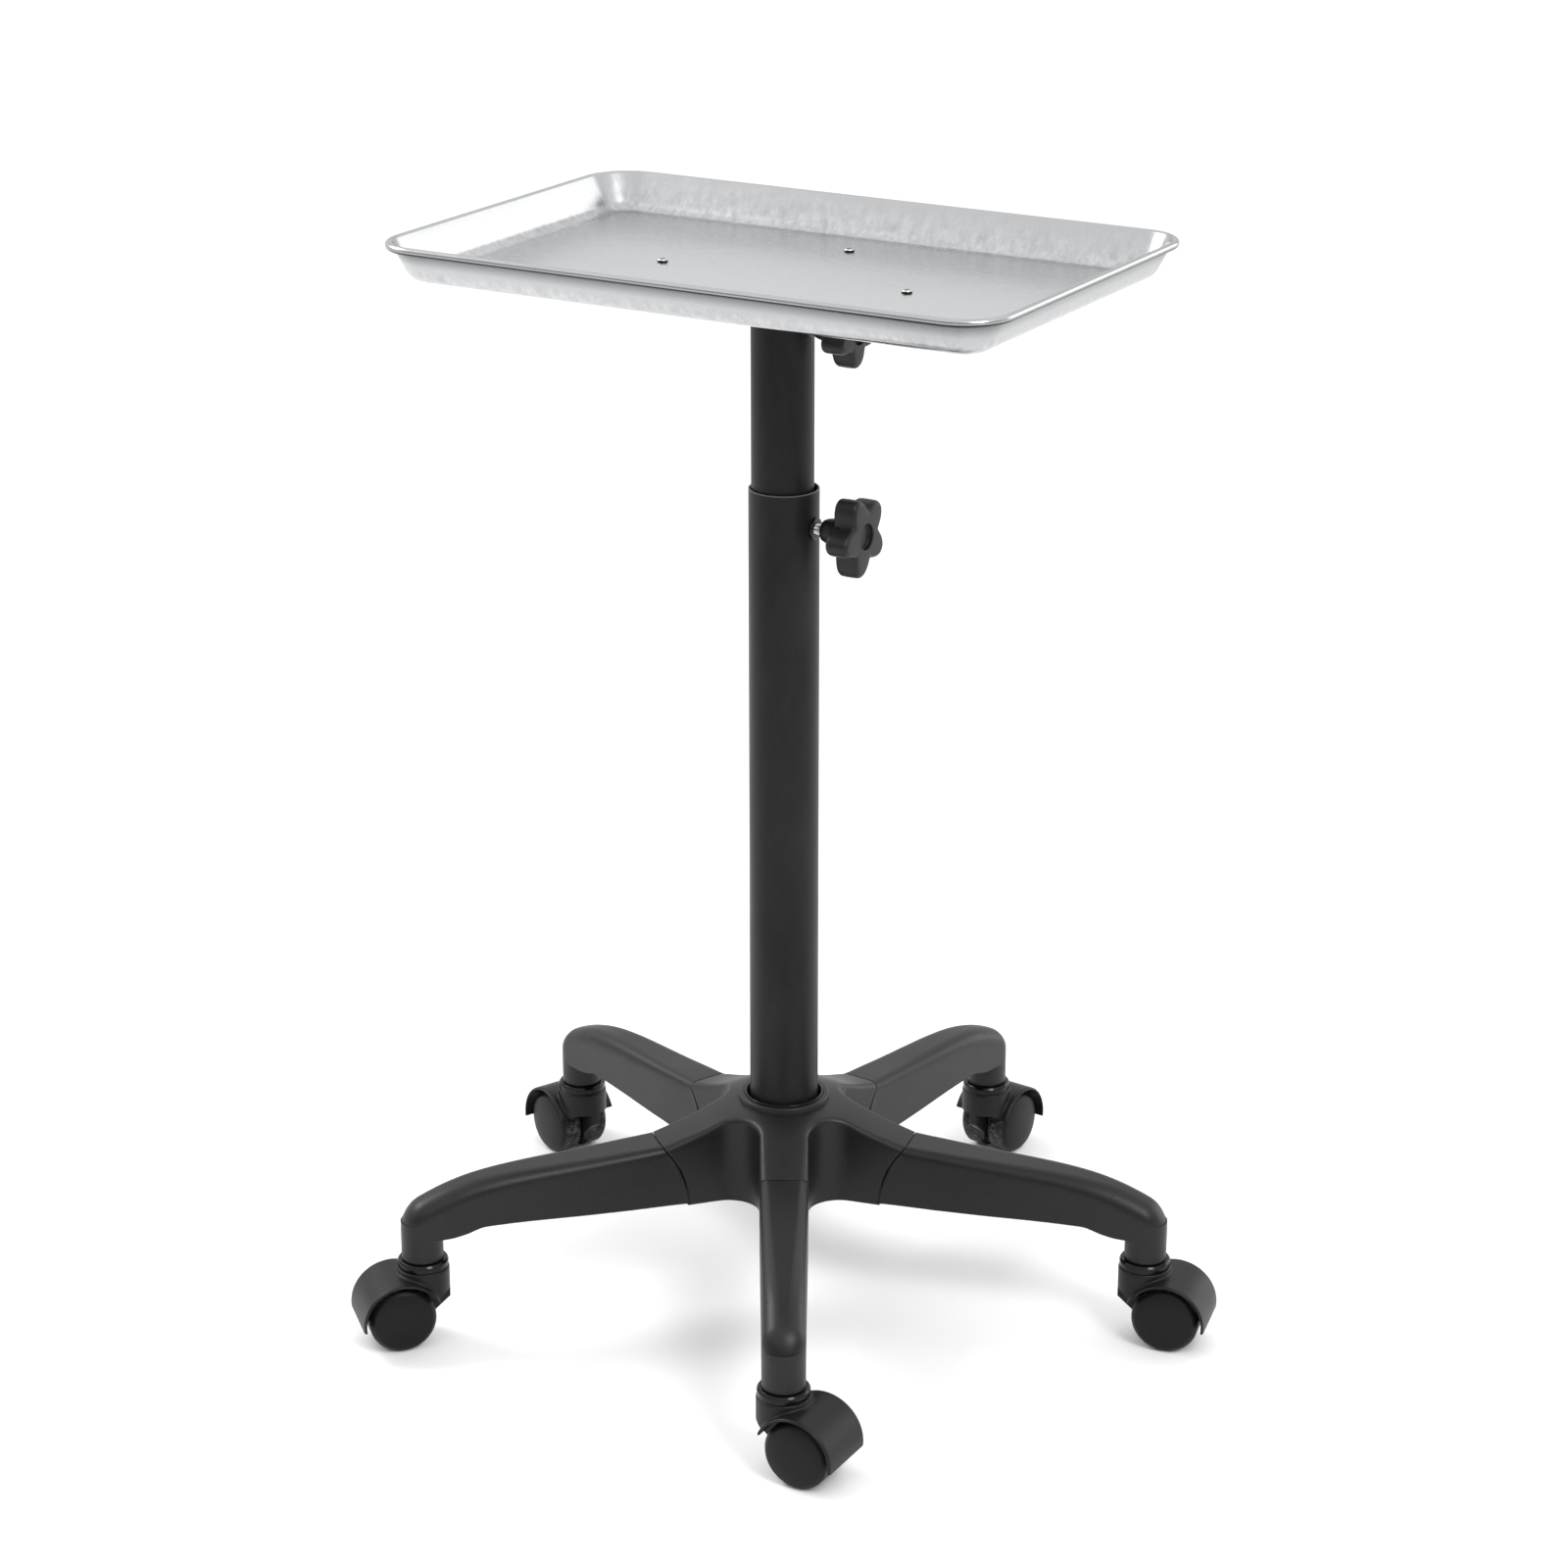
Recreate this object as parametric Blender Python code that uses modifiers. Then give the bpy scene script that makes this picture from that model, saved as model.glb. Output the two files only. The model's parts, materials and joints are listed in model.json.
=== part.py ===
"""Instrument cart: a shallow tray on a telescopic post, on a five-star base with twin-wheel castors.

Metres, +Z up, the floor at z = 0, the tray's long side along X and its front towards -Y.
The base's five arms stand turned against the tray, so the post isn't in the middle of the
cart's bounding box. Every piece hangs from one empty on the post's axis.
"""

import math

import bmesh
import bpy
from mathutils import Matrix, Vector

MM = 0.001
GAP = 0.3 * MM  # Between pieces that touch

# The post's axis, from the middle of the cart's footprint
POST_X = -8 * MM
POST_Y = -31 * MM

# Tray: a pressed sheet with a rolled rim
TRAY_FLOOR_Z = 780 * MM
TRAY_RIM_Z = 807 * MM
TRAY_FLOOR_HALF_X = 215.5 * MM
TRAY_FLOOR_HALF_Y = 132.5 * MM
TRAY_FLOOR_CORNER = 10 * MM
TRAY_SHEET = 1.2 * MM
TRAY_FILLET = 12 * MM
WALL_LEAN = math.radians(28)
RIM_RADIUS = 2.8 * MM
RIM_OUTSET = 26 * MM

# Cross under the tray, with the short tube that turns in the post
CROSS_THICK = 2.5 * MM
CROSS_WIDTH = 25 * MM
SCREW_X = 98 * MM
SCREW_Y = 95 * MM
STUB_RADIUS = 20.5 * MM
STUB_LENGTH = 60 * MM

# Telescopic post
OUTER_RADIUS = 25.4 * MM
INNER_RADIUS = 22.5 * MM
TUBE_WALL = 1.5 * MM
OUTER_TOP_Z = 629 * MM
OUTER_FOOT_Z = 102.5 * MM
INNER_LENGTH = 480 * MM
INNER_SHIFT = 1.1 * MM  # The clamp screw presses the inner tube against the far wall

# Star knobs and their M8 clamp screws, both along +X
HEIGHT_KNOB_Z = 602 * MM
TRAY_KNOB_Z = 748.5 * MM
STUD_RADIUS = 4 * MM
STUD_IN_KNOB = 19 * MM
HEIGHT_NECK_X = 33 * MM  # Where the neck starts, from its tube's axis
TRAY_NECK_X = 27.5 * MM
NECK_LENGTH = 16 * MM
NECK_RADIUS = 9 * MM
HEAD_THICK = 18 * MM
HEIGHT_STAR_RADIUS = 30 * MM
TRAY_STAR_RADIUS = 26.5 * MM
STAR_VALLEY = 0.66  # Share of the star's radius
STAR_LOBES = 5
HEIGHT_LOBE_TURN = math.radians(203)
STAR_POINTS = 40

# Hub
HUB_FOOT_Z = 85 * MM
HUB_REACH = 100 * MM
STUB_HALF_WIDTH = 18 * MM
VALLEY_FILLET = 23.4 * MM
RING_TOP_Z = 161 * MM
RING_RADIUS = 29.5 * MM
HUB_COLLAR_RADIUS = 33.5 * MM
SEAT_Z = 102 * MM
SOCKET_HALF_WIDTH = 13.5 * MM
SOCKET_START = 50 * MM
SOCKET_TOP_Z = 127 * MM

# Joint between an arm and its stub of the hub: (distance from the post, height)
SEAM = [(80 * MM, 80 * MM), (80.5 * MM, 92 * MM), (84 * MM, 108 * MM), (90 * MM, 121 * MM),
        (101 * MM, 136 * MM)]

# Arms and the castors at their ends
ARM_ANGLES = [math.radians(-60 + 72 * k) for k in range(5)]
CASTOR_ANGLES = [0.0] + ARM_ANGLES[1:]  # Where each castor trails; the front one lies across
CASTOR_CIRCLE = 280 * MM
BOSS_RADIUS = 15.5 * MM
BOSS_FOOT_Z = 66 * MM
SOCKET_RADIUS = 5.8 * MM
STEM_RADIUS = 5.5 * MM
STEM_TOP_Z = 98 * MM
STEM_FOOT_Z = 50 * MM
COLLAR_RADIUS = 18.8 * MM
COLLAR_FOOT_Z = 59.8 * MM
HOOD_BOSS_RADIUS = 19.4 * MM
HOOD_RADIUS = 30.5 * MM
HOOD_BORE = 28.3 * MM
HOOD_HALF_WIDTH = 25 * MM
WEB_HALF_WIDTH = 3.5 * MM
WHEEL_RADIUS = 25 * MM
TRAIL = 20 * MM
AXLE_RADIUS = 3 * MM
AXLE_HALF_LENGTH = 16 * MM
WHEEL_INNER_FACE = 4.3 * MM


# --- Modelling tools: each returns a mesh in its own coordinates ---


def baked(obj):
    """The mesh of an object with its modifiers applied, welded; the object is removed."""
    graph = bpy.context.evaluated_depsgraph_get()
    mesh = bpy.data.meshes.new_from_object(obj.evaluated_get(graph))
    bpy.data.objects.remove(obj)
    bm = bmesh.new()
    bm.from_mesh(mesh)
    bmesh.ops.remove_doubles(bm, verts=bm.verts, dist=1e-6)
    bm.to_mesh(mesh)
    bm.free()
    return mesh


def helper(mesh_or_curve):
    obj = bpy.data.objects.new("helper", mesh_or_curve)
    bpy.context.scene.collection.objects.link(obj)
    return obj


def turned(profile, segments=24):
    """A solid of revolution about Z. The (radius, height) profile runs down its outer side.

    A profile that starts on the axis also ends on it; any other closes on itself.
    """
    mesh = bpy.data.meshes.new("profile")
    count = len(profile)
    closes = profile[0][0] > 0
    edges = [(i, (i + 1) % count) for i in range(count if closes else count - 1)]
    mesh.from_pydata([(radius, 0, z) for radius, z in profile], edges, [])
    obj = helper(mesh)
    screw = obj.modifiers.new("turn", "SCREW")
    screw.steps = screw.render_steps = segments
    screw.use_merge_vertices = True
    screw.merge_threshold = 1e-5
    return baked(obj)


def rod(radius, low, high, segments=24):
    """A cylinder about Z."""
    bm = bmesh.new()
    place = Matrix.Translation((0, 0, (low + high) / 2))
    bmesh.ops.create_cone(bm, cap_ends=True, segments=segments, radius1=radius, radius2=radius,
                          depth=high - low, matrix=place)
    return to_mesh(bm)


def box(low, high):
    """A block between two corners."""
    low, high = Vector(low), Vector(high)
    bm = bmesh.new()
    place = Matrix.Translation((low + high) / 2) @ Matrix.Diagonal((*(high - low), 1))
    bmesh.ops.create_cube(bm, size=1, matrix=place)
    return to_mesh(bm)


def prism(outline, low, high):
    """A flat outline of (x, y) points, filled and made as thick as low to high along Z."""
    curve = bpy.data.curves.new("outline", "CURVE")
    curve.dimensions = "2D"
    curve.fill_mode = "BOTH"
    curve.extrude = (high - low) / 2
    spline = curve.splines.new("POLY")
    spline.points.add(len(outline) - 1)
    for point, (x, y) in zip(spline.points, outline):
        point.co = (x, y, 0, 1)
    spline.use_cyclic_u = True
    return moved(baked(helper(curve)), Matrix.Translation((0, 0, (low + high) / 2)))


def to_mesh(bm):
    mesh = bpy.data.meshes.new("shape")
    bm.to_mesh(mesh)
    bm.free()
    return mesh


def moved(mesh, matrix):
    mesh.transform(matrix)
    return mesh


def upright(mesh):
    """Turns a shape drawn in XY with its thickness along Z so that its Y becomes height."""
    return moved(mesh, Matrix.Rotation(math.pi / 2, 4, "X"))


def combined(operation, base, *others):
    """Boolean of a mesh with each of the others in turn."""
    obj = helper(base)
    tools = [helper(mesh) for mesh in others]
    for tool in tools:
        step = obj.modifiers.new(operation, "BOOLEAN")
        step.operation = operation
        step.object = tool
    mesh = baked(obj)
    for tool in tools:
        bpy.data.objects.remove(tool)
    return mesh


def cut(base, *tools):
    return combined("DIFFERENCE", base, *tools)


def joined(base, *others):
    return combined("UNION", base, *others)


def copy_at(mesh, matrix):
    return moved(mesh.copy(), matrix)


def about_z(angle):
    return Matrix.Rotation(angle, 4, "Z")


def arc(centre, radius, start, end, steps):
    """Points of an arc, with the angles in degrees."""
    angles = [math.radians(start + (end - start) * i / steps) for i in range(steps + 1)]
    return [(centre[0] + radius * math.cos(a), centre[1] + radius * math.sin(a)) for a in angles]


# --- Scene ---


def clear_scene():
    for obj in list(bpy.data.objects):
        bpy.data.objects.remove(obj)


def material(name, colour, roughness, metallic=0.0):
    found = bpy.data.materials.new(name)
    found.use_nodes = True
    shader = found.node_tree.nodes["Principled BSDF"]
    shader.inputs["Base Color"].default_value = (*colour, 1)
    shader.inputs["Roughness"].default_value = roughness
    shader.inputs["Metallic"].default_value = metallic
    found.diffuse_color = (*colour, 1)
    return found


def empty(name, parent=None, location=(0, 0, 0), turn=(0, 0, 0)):
    obj = bpy.data.objects.new(name, None)
    obj.parent = parent
    obj.location = location
    obj.rotation_euler = turn
    obj.empty_display_size = 0.02
    bpy.data.collections["instrument_cart"].objects.link(obj)
    return obj


def piece(name, mesh, finish, parent, location=(0, 0, 0), turn=(0, 0, 0)):
    """A named sub-part: round faces are smooth, and its colours are its own material's."""
    if not mesh.materials:
        mesh.name = name
        mesh.shade_smooth()
        mesh.set_sharp_from_angle(angle=math.radians(30))
        mesh.materials.append(material(name, *finish))
    obj = bpy.data.objects.new(name, mesh)
    obj.parent = parent
    obj.location = location
    obj.rotation_euler = turn
    bpy.data.collections["instrument_cart"].objects.link(obj)
    return obj


# Colour, roughness, metallic
TRAY_STEEL = ((0.62, 0.63, 0.64), 0.32, 1.0)
BRACKET_STEEL = ((0.05, 0.05, 0.052), 0.5, 0.0)
POWDER_COAT = ((0.018, 0.018, 0.02), 0.38, 0.0)
NYLON = ((0.026, 0.026, 0.028), 0.5, 0.0)
GLOSS_BLACK = ((0.008, 0.008, 0.009), 0.15, 0.0)
WHEEL_NYLON = ((0.03, 0.03, 0.032), 0.45, 0.0)
ZINC = ((0.7, 0.7, 0.72), 0.3, 1.0)
DARK_STEEL = ((0.2, 0.2, 0.21), 0.4, 1.0)


# --- Tray ---


def tray_section():
    """(outset, height) of the tray's upper surface, from the floor's edge out over the rim."""
    lean = math.degrees(WALL_LEAN)
    fillet = arc((0, TRAY_FLOOR_Z + TRAY_FILLET), TRAY_FILLET, -90, -lean, 3)
    centre = (RIM_OUTSET - RIM_RADIUS, TRAY_RIM_Z - RIM_RADIUS)
    return fillet + arc(centre, RIM_RADIUS, 180 - lean, -60, 5)


def tray_shell():
    """Floor plate with its edge run out along the section, then given the sheet's thickness."""
    bm = bmesh.new()
    flat = Matrix.Diagonal((TRAY_FLOOR_HALF_X, TRAY_FLOOR_HALF_Y, 1, 1))
    bmesh.ops.create_grid(bm, x_segments=1, y_segments=1, size=1, matrix=flat)
    bmesh.ops.bevel(bm, geom=bm.verts[:], offset=TRAY_FLOOR_CORNER, segments=5, profile=0.5,
                    affect="VERTICES")
    heart = (TRAY_FLOOR_HALF_X - TRAY_FLOOR_CORNER, TRAY_FLOOR_HALF_Y - TRAY_FLOOR_CORNER)
    edge = [e for e in bm.edges if e.is_boundary]
    last = 0.0
    for vert in bm.verts:
        vert.co.z = TRAY_FLOOR_Z
    for outset, z in tray_section()[1:]:
        made = bmesh.ops.extrude_edge_only(bm, edges=edge)["geom"]
        edge = [e for e in made if isinstance(e, bmesh.types.BMEdge) and e.is_boundary]
        for vert in [v for v in made if isinstance(v, bmesh.types.BMVert)]:
            near = Vector((max(-heart[0], min(heart[0], vert.co.x)),
                           max(-heart[1], min(heart[1], vert.co.y)), vert.co.z))
            vert.co += (vert.co - near).normalized() * (outset - last)
            vert.co.z = z
        last = outset
    bmesh.ops.recalc_face_normals(bm, faces=bm.faces)
    if max(bm.faces, key=lambda f: f.calc_area()).normal.z < 0:
        bmesh.ops.reverse_faces(bm, faces=bm.faces)
    obj = helper(to_mesh(bm))
    sheet = obj.modifiers.new("sheet", "SOLIDIFY")
    sheet.thickness = TRAY_SHEET
    sheet.offset = -1
    return baked(obj)


SCREW_PLACES = [(SCREW_X, 0), (-SCREW_X, 0), (0, SCREW_Y), (0, -SCREW_Y)]
SCREW_HEAD = 4.4 * MM
SCREW_SHANK = 2.5 * MM
SCREW_LENGTH = 10 * MM


def screw_seat():
    """Cutter for a countersunk screw, through the tray's floor and the cross."""
    top = TRAY_FLOOR_Z + GAP
    head, shank = SCREW_HEAD + GAP, SCREW_SHANK + GAP
    return turned([(0, top + MM), (head, top + MM), (head, top - GAP),
                   (shank, top - GAP - (head - shank)), (shank, top - SCREW_LENGTH),
                   (0, top - SCREW_LENGTH)], 16)


def tray_screw():
    """Countersunk M5 screw with a cross recess, its origin at the middle of its head."""
    blank = turned([(0, 0), (SCREW_HEAD, 0), (SCREW_HEAD, -0.3 * MM),
                    (SCREW_SHANK, -0.3 * MM - (SCREW_HEAD - SCREW_SHANK)),
                    (SCREW_SHANK, -SCREW_LENGTH), (0, -SCREW_LENGTH)], 16)
    slot = box((-2 * MM, -0.5 * MM, -1.2 * MM), (2 * MM, 0.5 * MM, MM))
    return cut(blank, slot, copy_at(slot, about_z(math.pi / 2)))


def build_tray(parent):
    seats = [copy_at(screw_seat(), Matrix.Translation((x, y, 0))) for x, y in SCREW_PLACES]
    piece("tray", cut(tray_shell(), *seats), TRAY_STEEL, parent)

    top = TRAY_FLOOR_Z - TRAY_SHEET - GAP
    low = top - CROSS_THICK
    reach_x, reach_y, half = SCREW_X + 12 * MM, SCREW_Y + 12 * MM, CROSS_WIDTH / 2
    cross = joined(box((-reach_x, -half, low), (reach_x, half, top)),
                   box((-half, -reach_y, low), (half, reach_y, top)))
    piece("tray_bracket", cut(cross, *[seat.copy() for seat in seats]), BRACKET_STEEL, parent)

    stub_top = low - GAP
    stub = tube(STUB_RADIUS, 2 * MM, stub_top - STUB_LENGTH, stub_top)
    piece("bracket_tube", stub, BRACKET_STEEL, parent)

    screw = tray_screw()
    for k, (x, y) in enumerate(SCREW_PLACES, 1):
        piece(f"tray_screw_{k}", screw, ZINC, parent, (x, y, TRAY_FLOOR_Z))
    return low


# --- Post ---


def tube(radius, wall, low, high, segments=32):
    return turned([(radius, high), (radius, low), (radius - wall, low), (radius - wall, high)],
                  segments)


def along_x(mesh, z):
    """Lays a shape that stands along Z down along +X, at a height."""
    return moved(mesh, Matrix.Translation((0, 0, z)) @ Matrix.Rotation(math.pi / 2, 4, "Y"))


def nut_mesh(inner, surface):
    """Rivet nut through a tube's wall: a thin body, and a flange outside. Its axis is Z."""
    body, flange, hole = 5.5 * MM, 8 * MM, STUD_RADIUS + GAP
    seat, face = surface + GAP, surface + 1.6 * MM
    return turned([(flange, face), (flange, seat), (body, seat), (body, inner), (hole, inner),
                   (hole, face)], 24)


def star_outline(reach):
    """Five round lobes with wider valleys between them."""
    points = []
    valley = reach * STAR_VALLEY
    for i in range(STAR_POINTS):
        angle = 2 * math.pi * i / STAR_POINTS
        wave = (1 + math.cos(STAR_LOBES * angle)) / 2
        radius = valley + (reach - valley) * wave ** 0.8
        points.append((radius * math.cos(angle), radius * math.sin(angle)))
    return points


def knob_mesh(reach):
    """Star knob with its axis along Z: conical neck at z = 0, then the lobed head."""
    head_low, face = NECK_LENGTH, NECK_LENGTH + HEAD_THICK
    bore, bottom = STUD_RADIUS + GAP, STUD_IN_KNOB + GAP
    neck = turned([(0, head_low + 4 * MM), (13 * MM, head_low + 4 * MM), (13 * MM, head_low),
                   (NECK_RADIUS + 2 * MM, 12 * MM), (NECK_RADIUS, 4 * MM), (7 * MM, 0), (0, 0)])
    head = prism(star_outline(reach), head_low, face)
    recess = rod(9.5 * MM, face - 3 * MM, face + MM)
    return cut(joined(head, neck), recess, rod(bore, -MM, bottom, 16))


def stud_mesh(length):
    """Clamp screw with its axis along Z and its tip at z = 0."""
    chamfer = MM
    return turned([(0, length), (STUD_RADIUS, length), (STUD_RADIUS, chamfer),
                   (STUD_RADIUS - chamfer, 0), (0, 0)], 16)


def build_clamp(name, parent, z, nut, pressed, neck, reach, lobe_turn):
    """Rivet nut, clamp screw and star knob; pressed is where the screw's tip stops."""
    tip = pressed + GAP
    lay = (0, math.pi / 2, 0)
    stud = stud_mesh(neck + STUD_IN_KNOB - tip)
    piece(f"{name}_rivet_nut", nut, DARK_STEEL, parent, (0, 0, z), lay)
    piece(f"{name}_clamp_screw", stud, ZINC, parent, (tip, 0, z), lay)
    axis = empty(f"{name}_knob_axis", parent, (0, 0, z), lay)
    piece(f"{name}_knob", knob_mesh(reach), NYLON, axis, (0, 0, neck), (0, 0, lobe_turn))


def build_post(cart, inner, cross_low):
    nut_hole = 5.5 * MM + GAP
    reach = OUTER_RADIUS + 5 * MM
    hole = along_x(rod(nut_hole, 0, reach, 16), HEIGHT_KNOB_Z)
    outer = tube(OUTER_RADIUS, TUBE_WALL, OUTER_FOOT_Z, OUTER_TOP_Z)
    piece("outer_tube", cut(outer, hole), POWDER_COAT, cart)

    top = cross_low - MM
    hole = along_x(rod(nut_hole, 0, reach, 16), TRAY_KNOB_Z)
    sliding = tube(INNER_RADIUS, TUBE_WALL, top - INNER_LENGTH, top)
    piece("inner_tube", cut(sliding, hole), POWDER_COAT, inner)

    plug_low = top - INNER_LENGTH - 4 * MM
    bore = INNER_RADIUS - TUBE_WALL - GAP
    lip = plug_low + 4 * MM - GAP
    glide = turned([(bore, lip + 14 * MM), (bore, lip), (INNER_RADIUS, lip),
                    (INNER_RADIUS, plug_low), (12 * MM, plug_low), (12 * MM, lip + 14 * MM)], 24)
    piece("inner_tube_glide", glide, NYLON, inner)

    height_nut = nut_mesh(OUTER_RADIUS - TUBE_WALL - 1.2 * MM, OUTER_RADIUS)
    tray_nut = nut_mesh(INNER_RADIUS - TUBE_WALL, INNER_RADIUS)
    build_clamp("height", cart, HEIGHT_KNOB_Z, height_nut, INNER_RADIUS - INNER_SHIFT,
                HEIGHT_NECK_X, HEIGHT_STAR_RADIUS, HEIGHT_LOBE_TURN)
    build_clamp("tray", inner, TRAY_KNOB_Z, tray_nut, STUB_RADIUS, TRAY_NECK_X,
                TRAY_STAR_RADIUS, 0)


# --- Base ---


def star_plan():
    """Plan of the hub: five stubs, with a round valley between each two."""
    half_step = math.pi / STAR_LOBES
    spread = STUB_HALF_WIDTH + VALLEY_FILLET
    centre_distance = spread / math.sin(half_step)
    points = []
    for angle in ARM_ANGLES:
        out = Vector((math.cos(angle), math.sin(angle)))
        side = Vector((-out.y, out.x))
        for sign in (-1, 1):
            points.append(tuple(out * HUB_REACH + side * sign * STUB_HALF_WIDTH))
        bisector = angle + half_step
        centre = (centre_distance * math.cos(bisector), centre_distance * math.sin(bisector))
        facing = math.degrees(bisector) + 180
        sweep = 90 - math.degrees(half_step)
        points += arc(centre, VALLEY_FILLET, facing + sweep, facing - sweep, 5)
    return points


def hub_mesh():
    """Star block under a turned top, with the tube's seat, the ring's recess and arm sockets."""
    wide = HUB_REACH + 20 * MM
    top = turned([(0, RING_TOP_Z - MM), (HUB_COLLAR_RADIUS, RING_TOP_Z - MM),
                  (HUB_COLLAR_RADIUS, 155.5 * MM), (50 * MM, 152 * MM), (75 * MM, 142 * MM),
                  (HUB_REACH, 134 * MM), (wide, 130 * MM), (wide, HUB_FOOT_Z), (0, HUB_FOOT_Z)], 40)
    block = combined("INTERSECT", prism(star_plan(), HUB_FOOT_Z - 5 * MM, RING_TOP_Z + 5 * MM), top)
    seat = rod(OUTER_RADIUS + GAP, SEAT_Z, 200 * MM, 32)
    recess = rod(RING_RADIUS + GAP, 149.5 * MM, 200 * MM, 32)
    bolt_hole = rod(5.5 * MM, 80 * MM, 120 * MM, 16)
    counterbore = rod(15 * MM, 70 * MM, 94 * MM)
    socket = box((SOCKET_START, -SOCKET_HALF_WIDTH, HUB_FOOT_Z - 5 * MM),
                 (HUB_REACH + 10 * MM, SOCKET_HALF_WIDTH, SOCKET_TOP_Z))
    screw_hole = moved(rod(3.3 * MM, 120 * MM, 131 * MM, 12), Matrix.Translation((75 * MM, 0, 0)))
    beyond = [(r - GAP, z) for r, z in SEAM] + [(130 * MM, 136 * MM), (130 * MM, 80 * MM)]
    seam = upright(prism(beyond, -30 * MM, 30 * MM))
    at_arm = [copy_at(mesh, about_z(a)) for a in ARM_ANGLES for mesh in (socket, screw_hole, seam)]
    return cut(block, seat, recess, bolt_hole, counterbore, *at_arm)


def build_hub(cart):
    piece("hub", hub_mesh(), NYLON, cart)
    ring = turned([(28 * MM, RING_TOP_Z), (RING_RADIUS, RING_TOP_Z), (RING_RADIUS, 149.8 * MM),
                   (OUTER_RADIUS + GAP, 149.8 * MM), (OUTER_RADIUS + GAP, 157 * MM)], 32)
    piece("hub_ring", ring, NYLON, cart)

    bore = OUTER_RADIUS - TUBE_WALL - GAP
    plug = turned([(bore, 128 * MM), (bore, OUTER_FOOT_Z), (5.3 * MM, OUTER_FOOT_Z),
                   (5.3 * MM, 128 * MM)], 24)
    piece("post_plug", plug, DARK_STEEL, cart)
    flange = rod(12 * MM, 91.7 * MM, 93.7 * MM)
    bolt = joined(rod(5 * MM, 92 * MM, 122 * MM, 16), flange, rod(8.5 * MM, 85.5 * MM, 92 * MM, 6))
    piece("post_bolt", bolt, ZINC, cart)


def arm_side():
    """Side of an arm as (distance from the post, height): top, elbow, then the flat underside."""
    tip = CASTOR_CIRCLE + BOSS_RADIUS
    top = [(150, 131), (210, 128), (236, 125), (256, 120), (272, 112.5), (286, 104)]
    top = [(r * MM, z * MM) for r, z in top]
    end = [(tip, 94 * MM), (tip, 84 * MM), (250 * MM, 84 * MM), (240 * MM, 90 * MM)]
    seam = [(80 * MM, 86 * MM)] + SEAM[1:-1] + [(99.5 * MM, 134 * MM)]
    return top + end + seam


def arm_mesh():
    """Arm along +X: a tapered bar, hollow beneath, with a tongue for the hub and a castor boss."""
    root, tip = 18.2 * MM, BOSS_RADIUS
    end = arc((CASTOR_CIRCLE, 0), tip, -90, 90, 12)
    plan = [(70 * MM, root)] + [(70 * MM, -root)] + end
    bar = upright(prism(arm_side(), -30 * MM, 30 * MM))
    bar = combined("INTERSECT", bar, prism(plan, 60 * MM, 160 * MM))
    boss = moved(rod(tip + 0.15 * MM, BOSS_FOOT_Z, 92 * MM, 32),
                 Matrix.Translation((CASTOR_CIRCLE, 0, 0)))
    tongue = box((SOCKET_START + 2 * MM, -13 * MM, 96 * MM), (130 * MM, 13 * MM, 124 * MM))
    channel_plan = [(134 * MM, 13 * MM), (134 * MM, -13 * MM), (258 * MM, -11.5 * MM),
                    (258 * MM, 11.5 * MM)]
    channel = prism(channel_plan, 70 * MM, 117 * MM)
    screw = moved(rod(3.3 * MM, 80 * MM, 130 * MM, 12), Matrix.Translation((75 * MM, 0, 0)))
    socket = moved(rod(SOCKET_RADIUS, 50 * MM, STEM_TOP_Z + 2 * MM, 16),
                   Matrix.Translation((CASTOR_CIRCLE, 0, 0)))
    return cut(joined(bar, boss, tongue), channel, screw, socket)


def arm_screw_mesh():
    """M6 screw from beneath, through the tongue into the hub's roof. Its origin is its head's foot."""
    return joined(rod(3 * MM, 3 * MM, 38 * MM, 12), rod(5.5 * MM, 0, 4 * MM, 16))


def build_arms(cart):
    arm, screw = arm_mesh(), arm_screw_mesh()
    for k, angle in enumerate(ARM_ANGLES, 1):
        piece(f"arm_{k}", arm, NYLON, cart, turn=(0, 0, angle))
        place = about_z(angle) @ Vector((75 * MM, 0, 91.7 * MM))
        piece(f"arm_screw_{k}", screw, ZINC, cart, place)


# --- Castors: each stands on its own axis, and trails along its +X ---


def castor_body_mesh():
    """Hood over both wheels, web between them and the boss around the stem."""
    drum = upright(rod(HOOD_RADIUS, -HOOD_HALF_WIDTH, HOOD_HALF_WIDTH, 32))
    drum = moved(drum, Matrix.Translation((TRAIL, 0, WHEEL_RADIUS)))
    boss = rod(HOOD_BOSS_RADIUS, 20 * MM, COLLAR_FOOT_Z - GAP, 24)
    wells = []
    for side in (-1, 1):
        inner, outer = side * WEB_HALF_WIDTH, side * (HOOD_HALF_WIDTH + 5 * MM)
        well = upright(rod(HOOD_BORE, min(inner, outer), max(inner, outer), 32))
        wells.append(moved(well, Matrix.Translation((TRAIL, 0, WHEEL_RADIUS))))
        low_front, low_back = 31 * MM, 20 * MM
        below = [(-40 * MM, low_front + 2 * MM), (TRAIL - HOOD_RADIUS, low_front),
                 (TRAIL + HOOD_RADIUS, low_back), (70 * MM, low_back), (70 * MM, -20 * MM),
                 (-40 * MM, -20 * MM)]
        wells.append(upright(prism(below, -max(inner, outer), -min(inner, outer))))
    foot = box((-40 * MM, -40 * MM, -10 * MM), (70 * MM, 40 * MM, 14 * MM))
    chin = [(-40 * MM, 50 * MM), (-20 * MM, 33 * MM), (-7 * MM, 22 * MM), (-7 * MM, 0),
            (-40 * MM, 0)]
    chin = upright(prism(chin, -40 * MM, 40 * MM))
    stem_hole = rod(STEM_RADIUS + GAP, STEM_FOOT_Z - GAP, 70 * MM, 16)
    axle_hole = upright(rod(AXLE_RADIUS + 0.05 * MM, -10 * MM, 10 * MM, 16))
    axle_hole = moved(axle_hole, Matrix.Translation((TRAIL, 0, WHEEL_RADIUS)))
    return cut(joined(drum, boss), *wells, foot, chin, stem_hole, axle_hole)


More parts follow.
